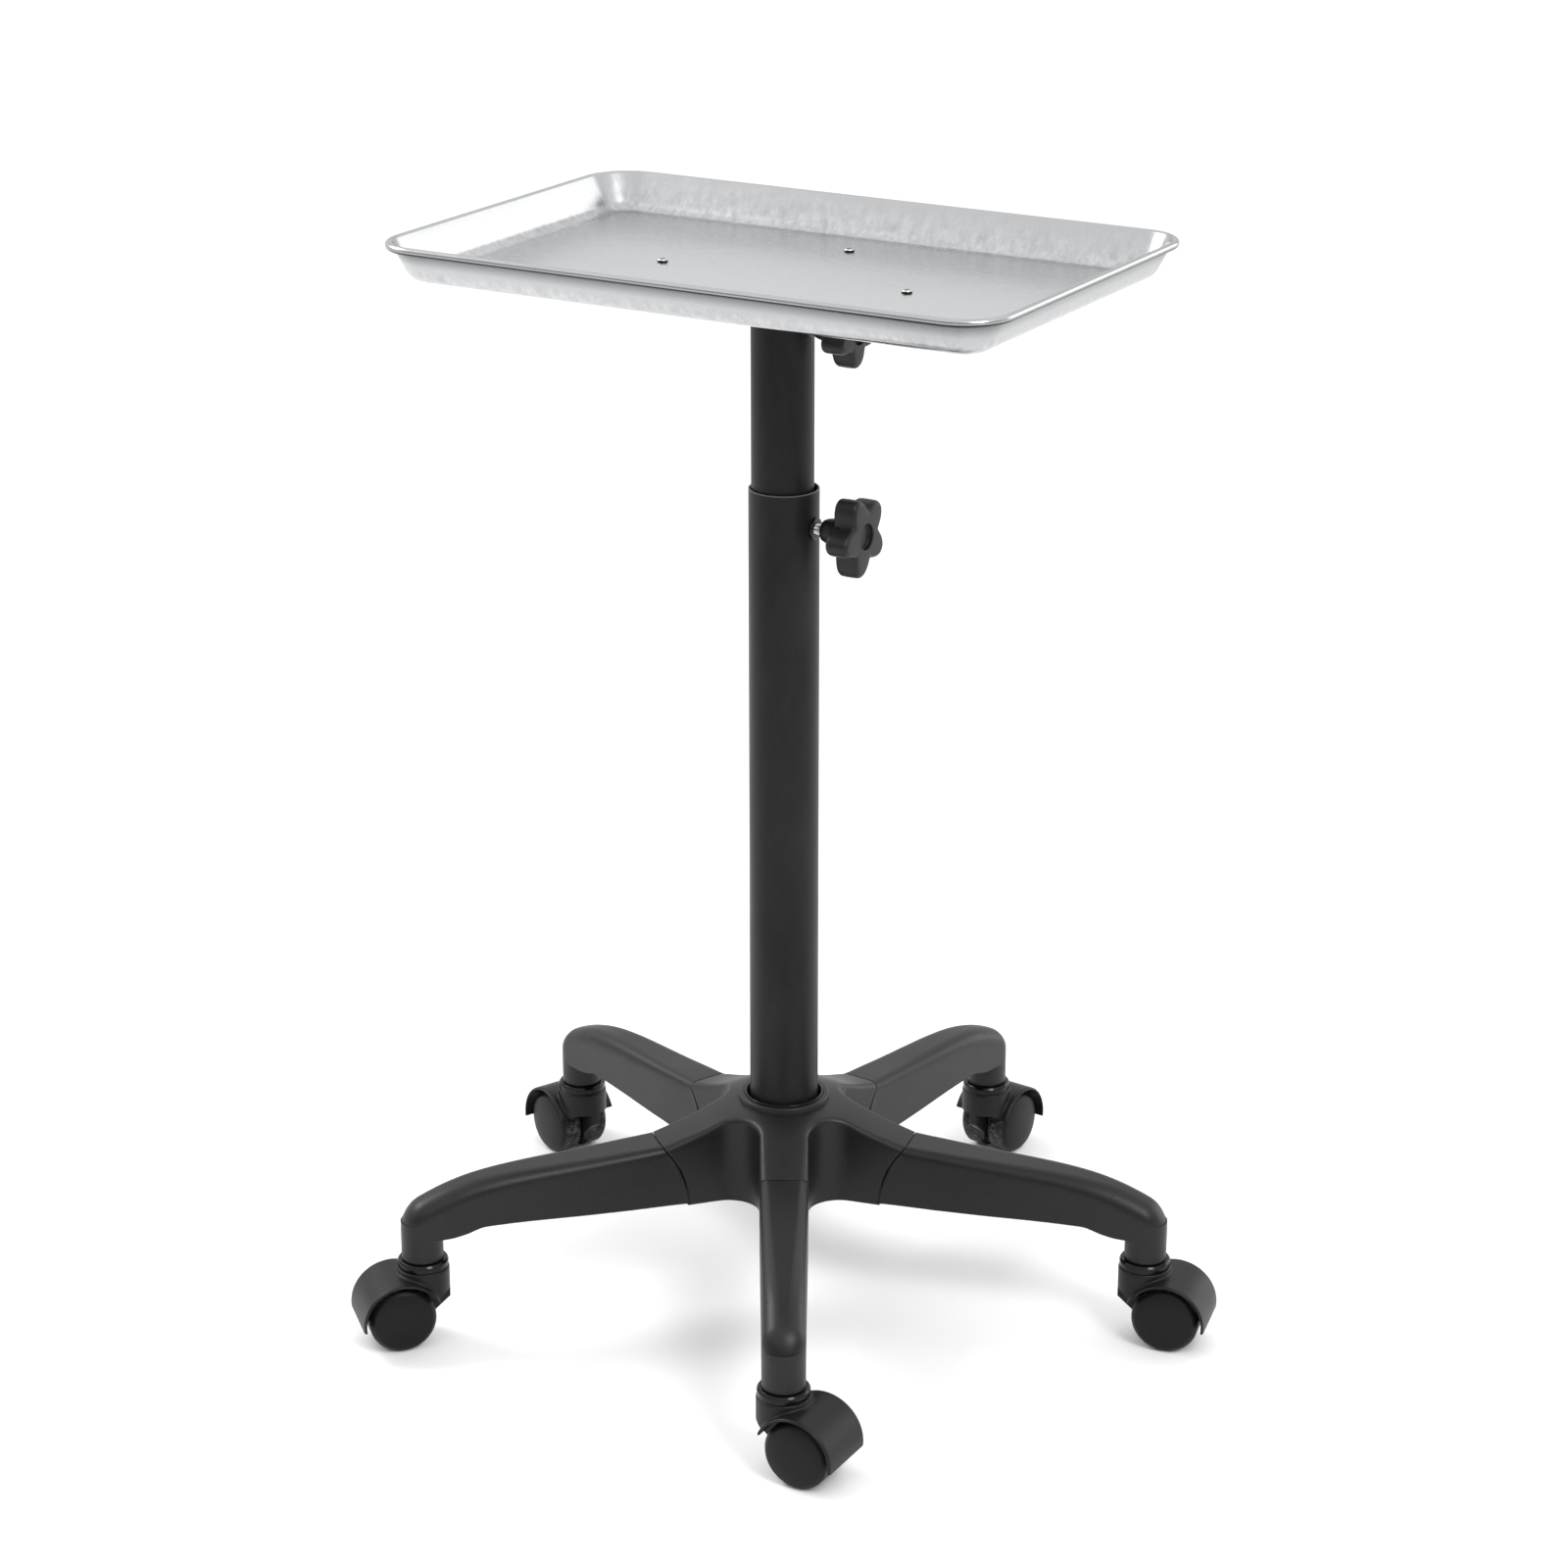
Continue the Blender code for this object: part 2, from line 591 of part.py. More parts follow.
def wheel_mesh():
    """Half of a twin wheel, its axis Z with the domed face up, and a blind bore for the axle."""
    bore, bottom = AXLE_RADIUS + 0.1 * MM, AXLE_HALF_LENGTH + GAP
    profile = [(0, 24), (16, 22.9), (23.5, 20.3), (25, 18), (25, 5), (24, 4.3)]
    return turned([(r * MM, z * MM) for r, z in profile]
                  + [(bore, WHEEL_INNER_FACE), (bore, bottom), (0, bottom)], 24)


def build_castors(cart):
    body, wheel = castor_body_mesh(), wheel_mesh()
    stem = turned([(0, STEM_TOP_Z), (4 * MM, STEM_TOP_Z), (STEM_RADIUS, STEM_TOP_Z - 2 * MM),
                   (STEM_RADIUS, STEM_FOOT_Z), (0, STEM_FOOT_Z)], 16)
    collar = tube(COLLAR_RADIUS, COLLAR_RADIUS - STEM_RADIUS - GAP, COLLAR_FOOT_Z,
                  BOSS_FOOT_Z - GAP, 24)
    axle = rod(AXLE_RADIUS, -AXLE_HALF_LENGTH, AXLE_HALF_LENGTH, 16)
    for k, (angle, trail) in enumerate(zip(ARM_ANGLES, CASTOR_ANGLES), 1):
        place = about_z(angle) @ Vector((CASTOR_CIRCLE, 0, 0))
        axis = empty(f"castor_axis_{k}", cart, place, (0, 0, trail))
        piece(f"castor_stem_{k}", stem, ZINC, axis)
        piece(f"castor_collar_{k}", collar, GLOSS_BLACK, axis)
        piece(f"castor_body_{k}", body, NYLON, axis)
        centre = (TRAIL, 0, WHEEL_RADIUS)
        piece(f"castor_axle_{k}", axle, ZINC, axis, centre, (math.pi / 2, 0, 0))
        piece(f"castor_wheel_left_{k}", wheel, WHEEL_NYLON, axis, centre, (-math.pi / 2, 0, 0))
        piece(f"castor_wheel_right_{k}", wheel, WHEEL_NYLON, axis, centre, (math.pi / 2, 0, 0))


def main():
    clear_scene()
    bpy.context.scene.collection.children.link(bpy.data.collections.new("instrument_cart"))
    cart = empty("post_axis", location=(POST_X, POST_Y, 0))
    inner = empty("inner_post_axis", cart, (-INNER_SHIFT, 0, 0))
    cross_low = build_tray(inner)
    build_post(cart, inner, cross_low)
    build_hub(cart)
    build_arms(cart)
    build_castors(cart)
    bpy.context.view_layer.update()


main()
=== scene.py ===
"""Instrument cart: the detailed pieces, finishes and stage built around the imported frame."""

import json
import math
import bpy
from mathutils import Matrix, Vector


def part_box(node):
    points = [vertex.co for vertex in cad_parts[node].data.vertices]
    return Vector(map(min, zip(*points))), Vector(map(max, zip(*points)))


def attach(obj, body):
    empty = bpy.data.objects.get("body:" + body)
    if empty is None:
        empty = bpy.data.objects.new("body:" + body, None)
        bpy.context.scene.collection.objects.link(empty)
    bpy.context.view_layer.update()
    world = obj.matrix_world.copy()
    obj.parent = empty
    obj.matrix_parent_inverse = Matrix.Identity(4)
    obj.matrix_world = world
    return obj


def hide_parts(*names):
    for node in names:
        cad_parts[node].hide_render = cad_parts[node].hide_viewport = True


bl_info = {
    "name": "Instrument Cart",
    "version": (1, 0, 0),
    "blender": (4, 5, 0),
    "location": "3D View > Sidebar > Cart",
    "description": "Builds an instrument cart with a metal tray and a five-arm castor base",
    "category": "Add Mesh",
}

import bmesh
import bpy
from bpy.props import FloatProperty, FloatVectorProperty, IntProperty, PointerProperty
from mathutils import Matrix, Vector

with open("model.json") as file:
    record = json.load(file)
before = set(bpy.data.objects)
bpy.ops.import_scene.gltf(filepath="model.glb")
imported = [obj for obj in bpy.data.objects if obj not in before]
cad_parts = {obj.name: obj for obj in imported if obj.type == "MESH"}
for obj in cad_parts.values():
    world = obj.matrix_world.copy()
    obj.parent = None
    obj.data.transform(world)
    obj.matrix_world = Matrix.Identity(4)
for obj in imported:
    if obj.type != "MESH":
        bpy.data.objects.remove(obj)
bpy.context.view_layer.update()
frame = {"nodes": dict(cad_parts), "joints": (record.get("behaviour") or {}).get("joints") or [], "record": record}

MM = 0.001
GAP = 0.3 * MM  # Between pieces that touch
MERGE = 1e-6
UP = Vector((0, 0, 1))
JOINTS = {joint["name"]: joint for joint in frame["joints"]}
SIDES = ("left", "right")
ARMS = range(1, 6)


def middle(node):
    """The middle of a frame node's box."""
    low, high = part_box(node)
    return (low + high) / 2


def size(node):
    """The size of a frame node's box."""
    low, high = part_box(node)
    return high - low


POST = Vector((*middle("outer_tube").xy, 0))
INNER_POST = Vector((*middle("inner_tube").xy, 0))
TRAY_FLOOR_Z = frame["record"]["mounts"][0]["pos_m"][2]
ARM_LENGTH = (Vector(JOINTS["castor_1_swivel"]["pos_m"]).xy - POST.xy).length


# --- Settings that a user would change ---


def length(name, default, description):
    """A length in millimetres, as a property in metres."""
    return FloatProperty(name=name, description=description, default=default * MM, min=0,
                         unit="LENGTH", precision=4)


def paint(name, default, description):
    """A colour, as linear red, green and blue."""
    return FloatVectorProperty(name=name, description=description, default=default, size=3,
                               min=0, max=1, subtype="COLOR")


class TraySettings(bpy.types.PropertyGroup):
    """Sizes and colour of the tray"""
    wall_lean: FloatProperty(name="Wall lean", default=math.radians(28), subtype="ANGLE",
                             description="How far the walls lean outwards from upright")
    outset: length("Outset", 26, "How far the rim stands out from the flat floor")
    depth: length("Depth", 27, "Height of the rim above the floor")
    fillet: length("Floor fillet", 12, "Radius where the floor turns up into the walls")
    bead: length("Rim bead", 2.8, "Radius of the rolled bead along the rim")
    sheet: length("Sheet", 1.2, "Thickness of the pressed sheet")
    corner: length("Corner", 10, "Radius of the floor's corners")
    colour: paint("Metal", (0.60, 0.61, 0.62), "Colour of the tray's metal")


class PostSettings(bpy.types.PropertyGroup):
    """Sizes and colour of the post"""
    wall: length("Tube wall", 1.5, "Wall thickness of both tubes")
    edge: length("Tube edge", 0.5, "Rounding of the tubes' cut ends")
    pitch: length("Thread pitch", 1.25, "Distance between two turns of the clamp screws' thread")
    colour: paint("Powder coat", (0.0075, 0.0075, 0.0082), "Colour of the tubes' coating")


class KnobSettings(bpy.types.PropertyGroup):
    """Sizes and colour of the star knobs"""
    lobes: IntProperty(name="Lobes", default=5, min=3, max=9, description="Number of lobes")
    neck: length("Neck", 16, "Length of the conical neck behind the head")
    head: length("Head", 18, "Thickness of the lobed head")
    valley: FloatProperty(name="Valley", default=0.66, min=0.4, max=0.95,
                          description="Share of the head's radius left between two lobes")
    recess: length("Recess", 9.5, "Radius of the round recess in the face")
    colour: paint("Nylon", (0.005, 0.005, 0.0054), "Colour of the knobs")


class BaseSettings(bpy.types.PropertyGroup):
    """Sizes and colour of the hub and its arms"""
    edge: FloatProperty(name="Arm roundness", default=1, min=0.1, max=1.1,
                        description="Share of the arms' full upper rounding")
    stub_edge: length("Stub edge", 5.5, "Rounding of the hub's upper edges at its seams")
    hub_edge: length("Hub edge", 3.6, "Rounding of the hub's upper edges in its valleys")
    foot_edge: length("Lower edge", 0.8, "Rounding of the lower edges")
    valley: length("Valley", 23.4, "Radius of the hub's valleys between two arms")
    seam: length("Seam", 0.35, "Half of the open joint between the hub and an arm")
    colour: paint("Nylon", (0.0048, 0.0048, 0.0052), "Colour of the moulded base")


class CastorSettings(bpy.types.PropertyGroup):
    """Sizes and colours of the castors"""
    hood: length("Hood", 30.5, "Radius of the hood over the wheels")
    bore: length("Hood bore", 28.3, "Radius of the hood's inside")
    half_width: length("Half width", 25, "Half of the hood's width")
    web: length("Web", 3.5, "Half thickness of the web between the wheels")
    colour: paint("Hood nylon", (0.0045, 0.0045, 0.005), "Colour of the hoods")
    wheel_colour: paint("Wheel nylon", (0.004, 0.004, 0.0044), "Colour of the wheels")


class StageSettings(bpy.types.PropertyGroup):
    """Floor, light and camera"""
    lens: FloatProperty(name="Lens", default=88, min=20, max=300,
                        description="Focal length of the camera in millimetres")
    floor_colour: paint("Floor", (0.88, 0.88, 0.88), "Colour of the floor")
    backdrop: FloatProperty(name="Backdrop", default=0.92, min=0, max=10,
                            description="Brightness of the surroundings")
    dim: FloatProperty(name="Dim front", default=0.75, min=0, max=1,
                       description="How far the surroundings are dimmed low on the camera's side")
    window: FloatProperty(name="Window", default=2.2, min=0, max=10,
                          description="Added brightness of the panel behind the cart")
    lamps: FloatProperty(name="Lamps", default=1, min=0, max=10,
                         description="Share of each lamp's power")


# --- Modelling tools: sizes in metres, each shape in its own coordinates ---


def mm(*points):
    """Points given in millimetres, in metres."""
    return [tuple(value * MM for value in point) for point in points]


def eased(corners, closed=False, step=math.radians(12)):
    """A line through (x, y, radius) corners, each rounded to its radius if it has one."""
    points = []
    count = len(corners)
    for i, corner in enumerate(corners):
        here = Vector(corner[:2])
        radius = corner[2] if len(corner) > 2 else 0
        if not radius or (not closed and i in (0, count - 1)):
            points.append(here)
            continue
        back = (Vector(corners[i - 1][:2]) - here).normalized()
        ahead = (Vector(corners[(i + 1) % count][:2]) - here).normalized()
        half = back.angle(ahead) / 2
        centre = here + (back + ahead).normalized() * radius / math.sin(half)
        start = here + back * radius / math.tan(half) - centre
        sweep = math.pi - 2 * half
        turn = 1 if back.cross(ahead) < 0 else -1
        steps = max(2, math.ceil(sweep / step))
        for k in range(steps + 1):
            points.append(centre + Matrix.Rotation(turn * sweep * k / steps, 2) @ start)
    return points


def height_along(line, x):
    """Height at x of a smooth curve through (x, height) points."""
    x = max(line[0][0], min(line[-1][0], x))
    for i in range(len(line) - 1):
        (x0, y0), (x1, y1) = line[i], line[i + 1]
        if x <= x1:
            before, after = line[max(i - 1, 0)], line[min(i + 2, len(line) - 1)]
            slope0 = (y1 - before[1]) / (x1 - before[0])
            slope1 = (after[1] - y0) / (after[0] - x0)
            t, width = (x - x0) / (x1 - x0), x1 - x0
            return (y0 * (1 + 2 * t) * (1 - t) ** 2 + slope0 * width * t * (1 - t) ** 2
                    + y1 * t * t * (3 - 2 * t) + slope1 * width * t * t * (t - 1))


def outward(bm):
    """Welds a shape and points its faces outwards."""
    bmesh.ops.remove_doubles(bm, verts=bm.verts, dist=MERGE)
    bmesh.ops.recalc_face_normals(bm, faces=bm.faces)
    return bm


def lathe(profile, segments=96):
    """A (radius, height) profile turned about Z. One that stays off the axis closes on itself."""
    bm = bmesh.new()
    verts = [bm.verts.new((r, 0, z)) for r, z in profile]
    edges = [bm.edges.new(pair) for pair in zip(verts, verts[1:])]
    if profile[0][0] > MERGE:
        edges.append(bm.edges.new((verts[-1], verts[0])))
    bmesh.ops.spin(bm, geom=verts + edges, axis=UP, cent=(0, 0, 0), dvec=(0, 0, 0),
                   angle=2 * math.pi, steps=segments, use_merge=True)
    return outward(bm)


def cylinder(radius, low, high, segments=96):
    """A solid cylinder about Z."""
    return lathe([(0, high), (radius, high), (radius, low), (0, low)], segments)


def skin(rows, looped=True):
    """A surface through rows of points, each row extruded from the one before it."""
    bm = bmesh.new()
    station = bm.verts.layers.int.new("station")
    verts = [bm.verts.new(point) for point in rows[0]]
    for k, vert in enumerate(verts):
        vert[station] = k
    pairs = list(zip(verts, verts[1:] + verts[:1])) if looped else list(zip(verts, verts[1:]))
    edges = [bm.edges.new(pair) for pair in pairs]
    for row in rows[1:]:
        made = bmesh.ops.extrude_edge_only(bm, edges=edges)["geom"]
        fresh = {part for part in made if isinstance(part, bmesh.types.BMVert)}
        edges = [part for part in made if isinstance(part, bmesh.types.BMEdge)
                 and all(vert in fresh for vert in part.verts)]
        for vert in fresh:
            vert.co = row[vert[station]]
    return bm


def capped(bm):
    """Closes every open border with a face."""
    bmesh.ops.remove_doubles(bm, verts=bm.verts, dist=MERGE)
    bmesh.ops.holes_fill(bm, edges=[edge for edge in bm.edges if edge.is_boundary], sides=0)
    return outward(bm)


def block(low, high, edge=0.0):
    """A box between two corners, its edges rounded."""
    low, high = Vector(low), Vector(high)
    bm = bmesh.new()
    place = Matrix.Translation((low + high) / 2) @ Matrix.Diagonal((*(high - low), 1))
    bmesh.ops.create_cube(bm, size=1, matrix=place)
    if edge:
        bmesh.ops.bevel(bm, geom=bm.edges[:], offset=edge, segments=3, profile=0.5, material=-1,
                        affect="EDGES")
    return bm


def plate(outline, low, high, edge=0.0):
    """A flat outline of (x, y) points, as thick as low to high, its two rims rounded."""
    bm = bmesh.new()
    face = bm.faces.new([bm.verts.new((x, y, low)) for x, y in outline])
    made = bmesh.ops.extrude_face_region(bm, geom=[face])["geom"]
    raised = [part for part in made if isinstance(part, bmesh.types.BMVert)]
    bmesh.ops.translate(bm, verts=raised, vec=(0, 0, high - low))
    outward(bm)
    if edge:
        rims = [e for e in bm.edges if abs(e.verts[0].co.z - e.verts[1].co.z) < MERGE]
        bmesh.ops.bevel(bm, geom=rims, offset=edge, segments=3, profile=0.5, material=-1,
                        affect="EDGES")
    return bm


def threaded(radius, pitch, low, high, sides=24):
    """A screw about Z with a helical thread and a chamfered tip at its low end."""
    rows = []
    steps = math.ceil((high - low) / pitch * 6)
    for k in range(steps + 1):
        z = low + (high - low) * k / steps
        row = []
        for i in range(sides):
            wave = abs(((z / pitch - i / sides) % 1) * 2 - 1)
            reach = radius - 0.55 * pitch * wave
            reach = min(reach, radius - MM + (z - low))
            row.append((reach * math.cos(2 * math.pi * i / sides),
                        reach * math.sin(2 * math.pi * i / sides), z))
        rows.append(row)
    return capped(skin(rows))


def holder(bm):
    """A temporary object with a shape, for modifiers."""
    mesh = bpy.data.meshes.new("shape")
    bm.to_mesh(mesh)
    bm.free()
    obj = bpy.data.objects.new("shape", mesh)
    bpy.context.scene.collection.objects.link(obj)
    return obj


def settled(obj, *used):
    """The shape of an object with its modifiers applied; it and those it used are removed."""
    graph = bpy.context.evaluated_depsgraph_get()
    mesh = bpy.data.meshes.new_from_object(obj.evaluated_get(graph))
    bm = bmesh.new()
    bm.from_mesh(mesh)
    bmesh.ops.remove_doubles(bm, verts=bm.verts, dist=MERGE)
    for spent in (obj, *used):
        bpy.data.meshes.remove(spent.data)
    bpy.data.meshes.remove(mesh)
    return bm


def combined(operation, bm, *tools):
    """Boolean of a shape with each of the others in turn."""
    obj = holder(bm)
    helpers = [holder(tool) for tool in tools]
    for other in helpers:
        step = obj.modifiers.new(operation, "BOOLEAN")
        step.operation = operation
        step.object = other
        step.solver = "MANIFOLD"
    return settled(obj, *helpers)


def moved(bm, matrix):
    """The same shape at another place."""
    bm.transform(matrix)
    return bm


def turned_copies(bm, angles):
    """Copies of a shape about Z."""
    return [moved(bm.copy(), Matrix.Rotation(angle, 4, "Z")) for angle in angles]


def piece(name, bm, place, body, finish, nodes=(), smooth=math.radians(35)):
    """A finished piece: its place goes into its mesh, and it rides on a body of the frame."""
    bm.transform(place)
    mesh = bpy.data.meshes.new(name)
    bm.to_mesh(mesh)
    bm.free()
    mesh.shade_smooth()
    mesh.set_sharp_from_angle(angle=smooth)
    mesh.materials.append(finish)
    obj = bpy.data.objects.new(name, mesh)
    bpy.context.scene.collection.objects.link(obj)
    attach(obj, body)
    if nodes:
        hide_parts(*nodes)
    return obj


def darken(obj, grime, hidden):
    """Gives a second finish, a painted shade, to the faces whose middle passes a test."""
    obj.data.materials.append(grime)
    for face in obj.data.polygons:
        if hidden(face.center):
            face.material_index = 1


def along_x(place, turn=0.0):
    """Stands a shape's Z along +X at a place, turned about that axis."""
    return Matrix.Translation(place) @ Matrix.Rotation(math.pi / 2, 4, "Y") @ Matrix.Rotation(
        turn, 4, "Z")


# --- Finishes ---


class Value:
    """A socket of a node. Arithmetic on it adds the Math nodes that it stands for."""

    def __init__(self, recipe, socket):
        self.recipe = recipe
        self.socket = socket

    def __add__(self, other):
        return self.recipe.math("ADD", self, other)

    def __sub__(self, other):
        return self.recipe.math("SUBTRACT", self, other)

    def __rsub__(self, other):
        return self.recipe.math("SUBTRACT", other, self)

    def __mul__(self, other):
        return self.recipe.math("MULTIPLY", self, other)

    __radd__ = __add__
    __rmul__ = __mul__


class Recipe:
    """A tree of shader nodes under construction."""

    def __init__(self, tree):
        self.tree = tree

    def node(self, kind, settings=None, output=0, **inputs):
        """Adds a node, sets its settings and fills its sockets, and returns one output."""
        made = self.tree.nodes.new(kind)
        for key, value in (settings or {}).items():
            setattr(made, key, value)
        for key, value in inputs.items():
            self.fill(made.inputs[int(key[1:]) if key[1:].isdigit() else key.replace("_", " ")],
                      value)
        return Value(self, made.outputs[output])

    def fill(self, socket, value):
        """Links a value to a socket, or sets a constant on it."""
        if isinstance(value, Value):
            self.tree.links.new(value.socket, socket)
        else:
            socket.default_value = value

    def math(self, operation, *values):
        """Adds a Math node on two values or numbers."""
        return self.node("ShaderNodeMath", {"operation": operation},
                         **{f"i{k}": value for k, value in enumerate(values)})

    def between(self, value, low, high):
        """Maps a range of a value onto 0 to 1, held at its ends."""
        return self.node("ShaderNodeMapRange", None, 0, Value=value, From_Min=low, From_Max=high)

    def along(self, vector, direction):
        """How much of a vector lies along a fixed direction."""
        return self.node("ShaderNodeVectorMath", {"operation": "DOT_PRODUCT"}, "Value", i0=vector,
                         i1=tuple(direction))

    def mix(self, share, first, second):
        """Mixes two colours."""
        first, second = [colour if isinstance(colour, Value) else (*colour, 1)
                         for colour in (first, second)]
        return self.node("ShaderNodeMix", {"data_type": "RGBA"}, 2, i0=share, i6=first, i7=second)


class Finish(Recipe):
    """A material under construction, with one Principled shader."""

    def __init__(self, name, **constants):
        self.material = bpy.data.materials.new(name)
        self.material.use_nodes = True
        super().__init__(self.material.node_tree)
        self.shader = self.tree.nodes["Principled BSDF"]
        self.set(**constants)
        self.position = self.node("ShaderNodeTexCoord", output="Object")

    def set(self, **sockets):
        """Sets sockets of the shader, such as Base_Color."""
        for key, value in sockets.items():
            self.fill(self.shader.inputs[key.replace("_", " ")], value)
        return self

    def stretched(self, waves, turn=(0, 0, 0)):
        """Object coordinates turned and scaled to a number of waves per metre along each axis."""
        return self.node("ShaderNodeMapping", {"vector_type": "TEXTURE"}, 0, Vector=self.position,
                         Rotation=turn, Scale=tuple(1 / count for count in waves))

    def noise(self, scale, detail=2.0, roughness=0.5, vector=None):
        """Noise, from 0 to 1, with its scale in waves per metre."""
        return self.node("ShaderNodeTexNoise", None, "Fac", Vector=vector or self.position,
                         Scale=scale, Detail=detail, Roughness=roughness)

    def bump(self, height, distance, normal=None):
        """Relief of a height from 0 to 1 that stands a distance in metres."""
        inputs = {"Height": height, "Distance": distance}
        if normal:
            inputs["Normal"] = normal
        return self.node("ShaderNodeBump", None, 0, **inputs)

    def attribute(self, name):
        """A value that each vertex holds."""
        return self.node("ShaderNodeAttribute", {"attribute_name": name}, "Fac")


FINISHES = {}
TOP_EDGE_HIGHLIGHT = (0.11, 0.11, 0.11)  # Painted highlight along a tube's cut top edge
SCUFF = (0.10, 0.10, 0.098)  # Dust in a wheel's scratches
BRIGHT_ZINC = (0.62, 0.62, 0.63)
DARK_STEEL = (0.22, 0.22, 0.23)
BLACK_STEEL = (0.05, 0.05, 0.052)
BRACKET_COAT = (0.014, 0.014, 0.015)


def finish(name, maker, *arguments):
    """A material by name, made when it is first asked for."""
    if name not in FINISHES:
        FINISHES[name] = maker(name, *arguments).material
    return FINISHES[name]


def repaint(node, material):
    """Gives a finish to a node of the frame that keeps its own shape."""
    frame["nodes"][node].material_slots[0].material = material


def tinted(colour, share, lift=0.0):
    """A colour times a share, plus a lift."""
    return tuple(part * share + lift for part in colour)


def tray_metal(name, colour):
    """Rolled sheet: a fine mottle stronger on the walls, scratches, soft gloss and painted shade on walls and
    curl.
    """
    look = Finish(name, Metallic=1.0)
    # Where the painted shade lies: 0 on the floor, 0.25 on a wall, 0.5 on the bead, 1 under the curl
    curl = look.attribute("curl")
    wall = look.between(curl, 0, 0.25)
    mottle = look.noise(1, 4, 0.7, look.stretched((170, 170, 60)))
    cloud = look.noise(7, 2, 0.5)
    grain = look.noise(1, 3, 0.6, look.stretched((30, 2600, 2600)))
    scratches = look.noise(1, 2, 0.5, look.stretched((2200, 18, 900), turn=(0, 0, 0.4)))
    spread = 0.08 + wall * 0.37
    tone = (look.between(mottle, 0.33, 0.67) - 0.5) * spread + look.between(cloud, 0.3, 0.7) * 0.2
    # Painted shade: the walls darker than the floor, the bead darker, a near-black painted shadow under the curl
    shade = look.mix(tone + 0.88 - wall * 0.53, tinted(colour, 0.5), colour)
    shade = look.mix(look.between(curl, 0.25, 0.5), shade, tinted(colour, 0.68))
    shade = look.mix(look.between(curl, 0.5, 1), shade, tinted(colour, 0.05))
    look.set(Base_Color=shade,
             Roughness=0.19 + look.between(mottle, 0.3, 0.7) * 0.06
             + look.between(grain, 0.35, 0.65) * 0.05)
    fine = look.bump(grain * 0.5 + scratches * 0.5, 0.015 * MM)
    wide = look.bump(look.noise(30, 2, 0.5), 0.2 * MM, fine)
    return look.set(Normal=wide)


def powder_coat(name, colour, highlight_top=None):
    """Satin powder coat with its orange-peel relief, a few dull rubs and a painted highlight along the upper edge.
    """
    look = Finish(name, Specular_IOR_Level=0.17)
    peel = look.noise(520, 2, 0.5)
    rub = look.noise(1, 4, 0.65, look.stretched((22, 22, 9)))
    light = tinted(colour, 1.9, 0.003)
    shade = look.mix(look.between(rub, 0.42, 0.7) * 0.8, colour, light)
    if highlight_top:
        height = look.node("ShaderNodeSeparateXYZ", None, "Z", Vector=look.position)
        # Painted highlight: a lighter band in the last 0.9 mm below the top edge
        shade = look.mix(look.between(height, highlight_top - 0.9 * MM, highlight_top - 0.3 * MM), shade,
                         TOP_EDGE_HIGHLIGHT)
    look.set(Base_Color=shade,
             Roughness=0.36 + look.between(rub, 0.35, 0.75) * 0.12 + peel * 0.04)
    return look.set(Normal=look.bump(peel, 0.05 * MM))


def moulded_nylon(name, colour, roughness=0.35, gloss=0.33, grain=0.035):
    """Moulded nylon with a spark-eroded grain, flow marks and dull patches."""
    look = Finish(name, Specular_IOR_Level=gloss)
    fine = look.noise(1100, 2, 0.6)
    flow = look.noise(1, 3, 0.55, look.stretched((14, 14, 30)))
    speck = look.noise(520, 3, 0.7)
    light = tinted(colour, 1.8, 0.004)
    pale = look.between(flow, 0.4, 0.8) * 0.35 + look.between(speck, 0.5, 0.75) * 0.6
    look.set(Base_Color=look.mix(pale, colour, light),
             Roughness=roughness + look.between(flow, 0.3, 0.7) * 0.08 + fine * 0.06)
    return look.set(Normal=look.bump(fine, grain * MM))


def wheel_nylon(name, colour):
    """Wheel nylon whose tread is scuffed, with dust in the scratches."""
    look = Finish(name, Specular_IOR_Level=0.2)
    fine = look.noise(1300, 2, 0.6)
    scuff = look.noise(260, 3, 0.7)
    tread = look.attribute("tread") * look.between(scuff, 0.45, 0.65)
    look.set(Base_Color=look.mix(tread * 0.7, colour, SCUFF),
             Roughness=0.42 + tread * 0.25 + fine * 0.06)
    return look.set(Normal=look.bump(fine + tread * 0.8, 0.06 * MM))


def gloss_black(name):
    """Polished black rings."""
    look = Finish(name, Specular_IOR_Level=0.22)
    haze = look.noise(60, 3, 0.6)
    look.set(Base_Color=look.mix(haze, (0.002, 0.002, 0.002), (0.005, 0.005, 0.005)),
             Roughness=0.12 + haze * 0.1)
    return look.set(Normal=look.bump(look.noise(300, 2, 0.5), 0.01 * MM))


def zinc_plate(name, colour):
    """Plated steel with a cloudy, slightly yellowed surface."""
    look = Finish(name, Metallic=1.0)
    cloud = look.noise(220, 3, 0.6)
    warm = tuple(c * f for c, f in zip(colour, (0.92, 0.90, 0.84)))
    look.set(Base_Color=look.mix(look.between(cloud, 0.35, 0.7), colour, warm),
             Roughness=0.24 + cloud * 0.16)
    return look.set(Normal=look.bump(look.noise(1800, 2, 0.5), 0.01 * MM))


def pale_floor(name, colour):
    """Matt studio floor."""
    look = Finish(name)
    drift = look.noise(3, 2, 0.5)
    return look.set(Base_Color=look.mix(drift, tinted(colour, 0.99), colour),
                    Roughness=0.6 + drift * 0.1)


# --- Tray ---

BEAD_SHADE = math.radians(-12)  # Below this angle the curled edge gets a painted shadow
CURL_END = math.radians(-140)  # Where the bead's curl stops beneath the rim
FLOOR_OVERLAP = 2 * MM  # How far the rings run in from the edge of the flat floor
SCREW_HEAD = 3.9 * MM
SCREW_RISE = 2.3 * MM  # Height of a pan head above the tray's floor
SCREW_SHANK = 2.5 * MM
SCREW_LENGTH = 10 * MM
SCREW_PITCH = 0.8 * MM
HEAD_SHINE = 1.1 * MM  # The top of a screw's head left bright above its painted shade
NUT_TOP = -4.4 * MM  # From the tray's floor
NUT_FOOT = -8.6 * MM


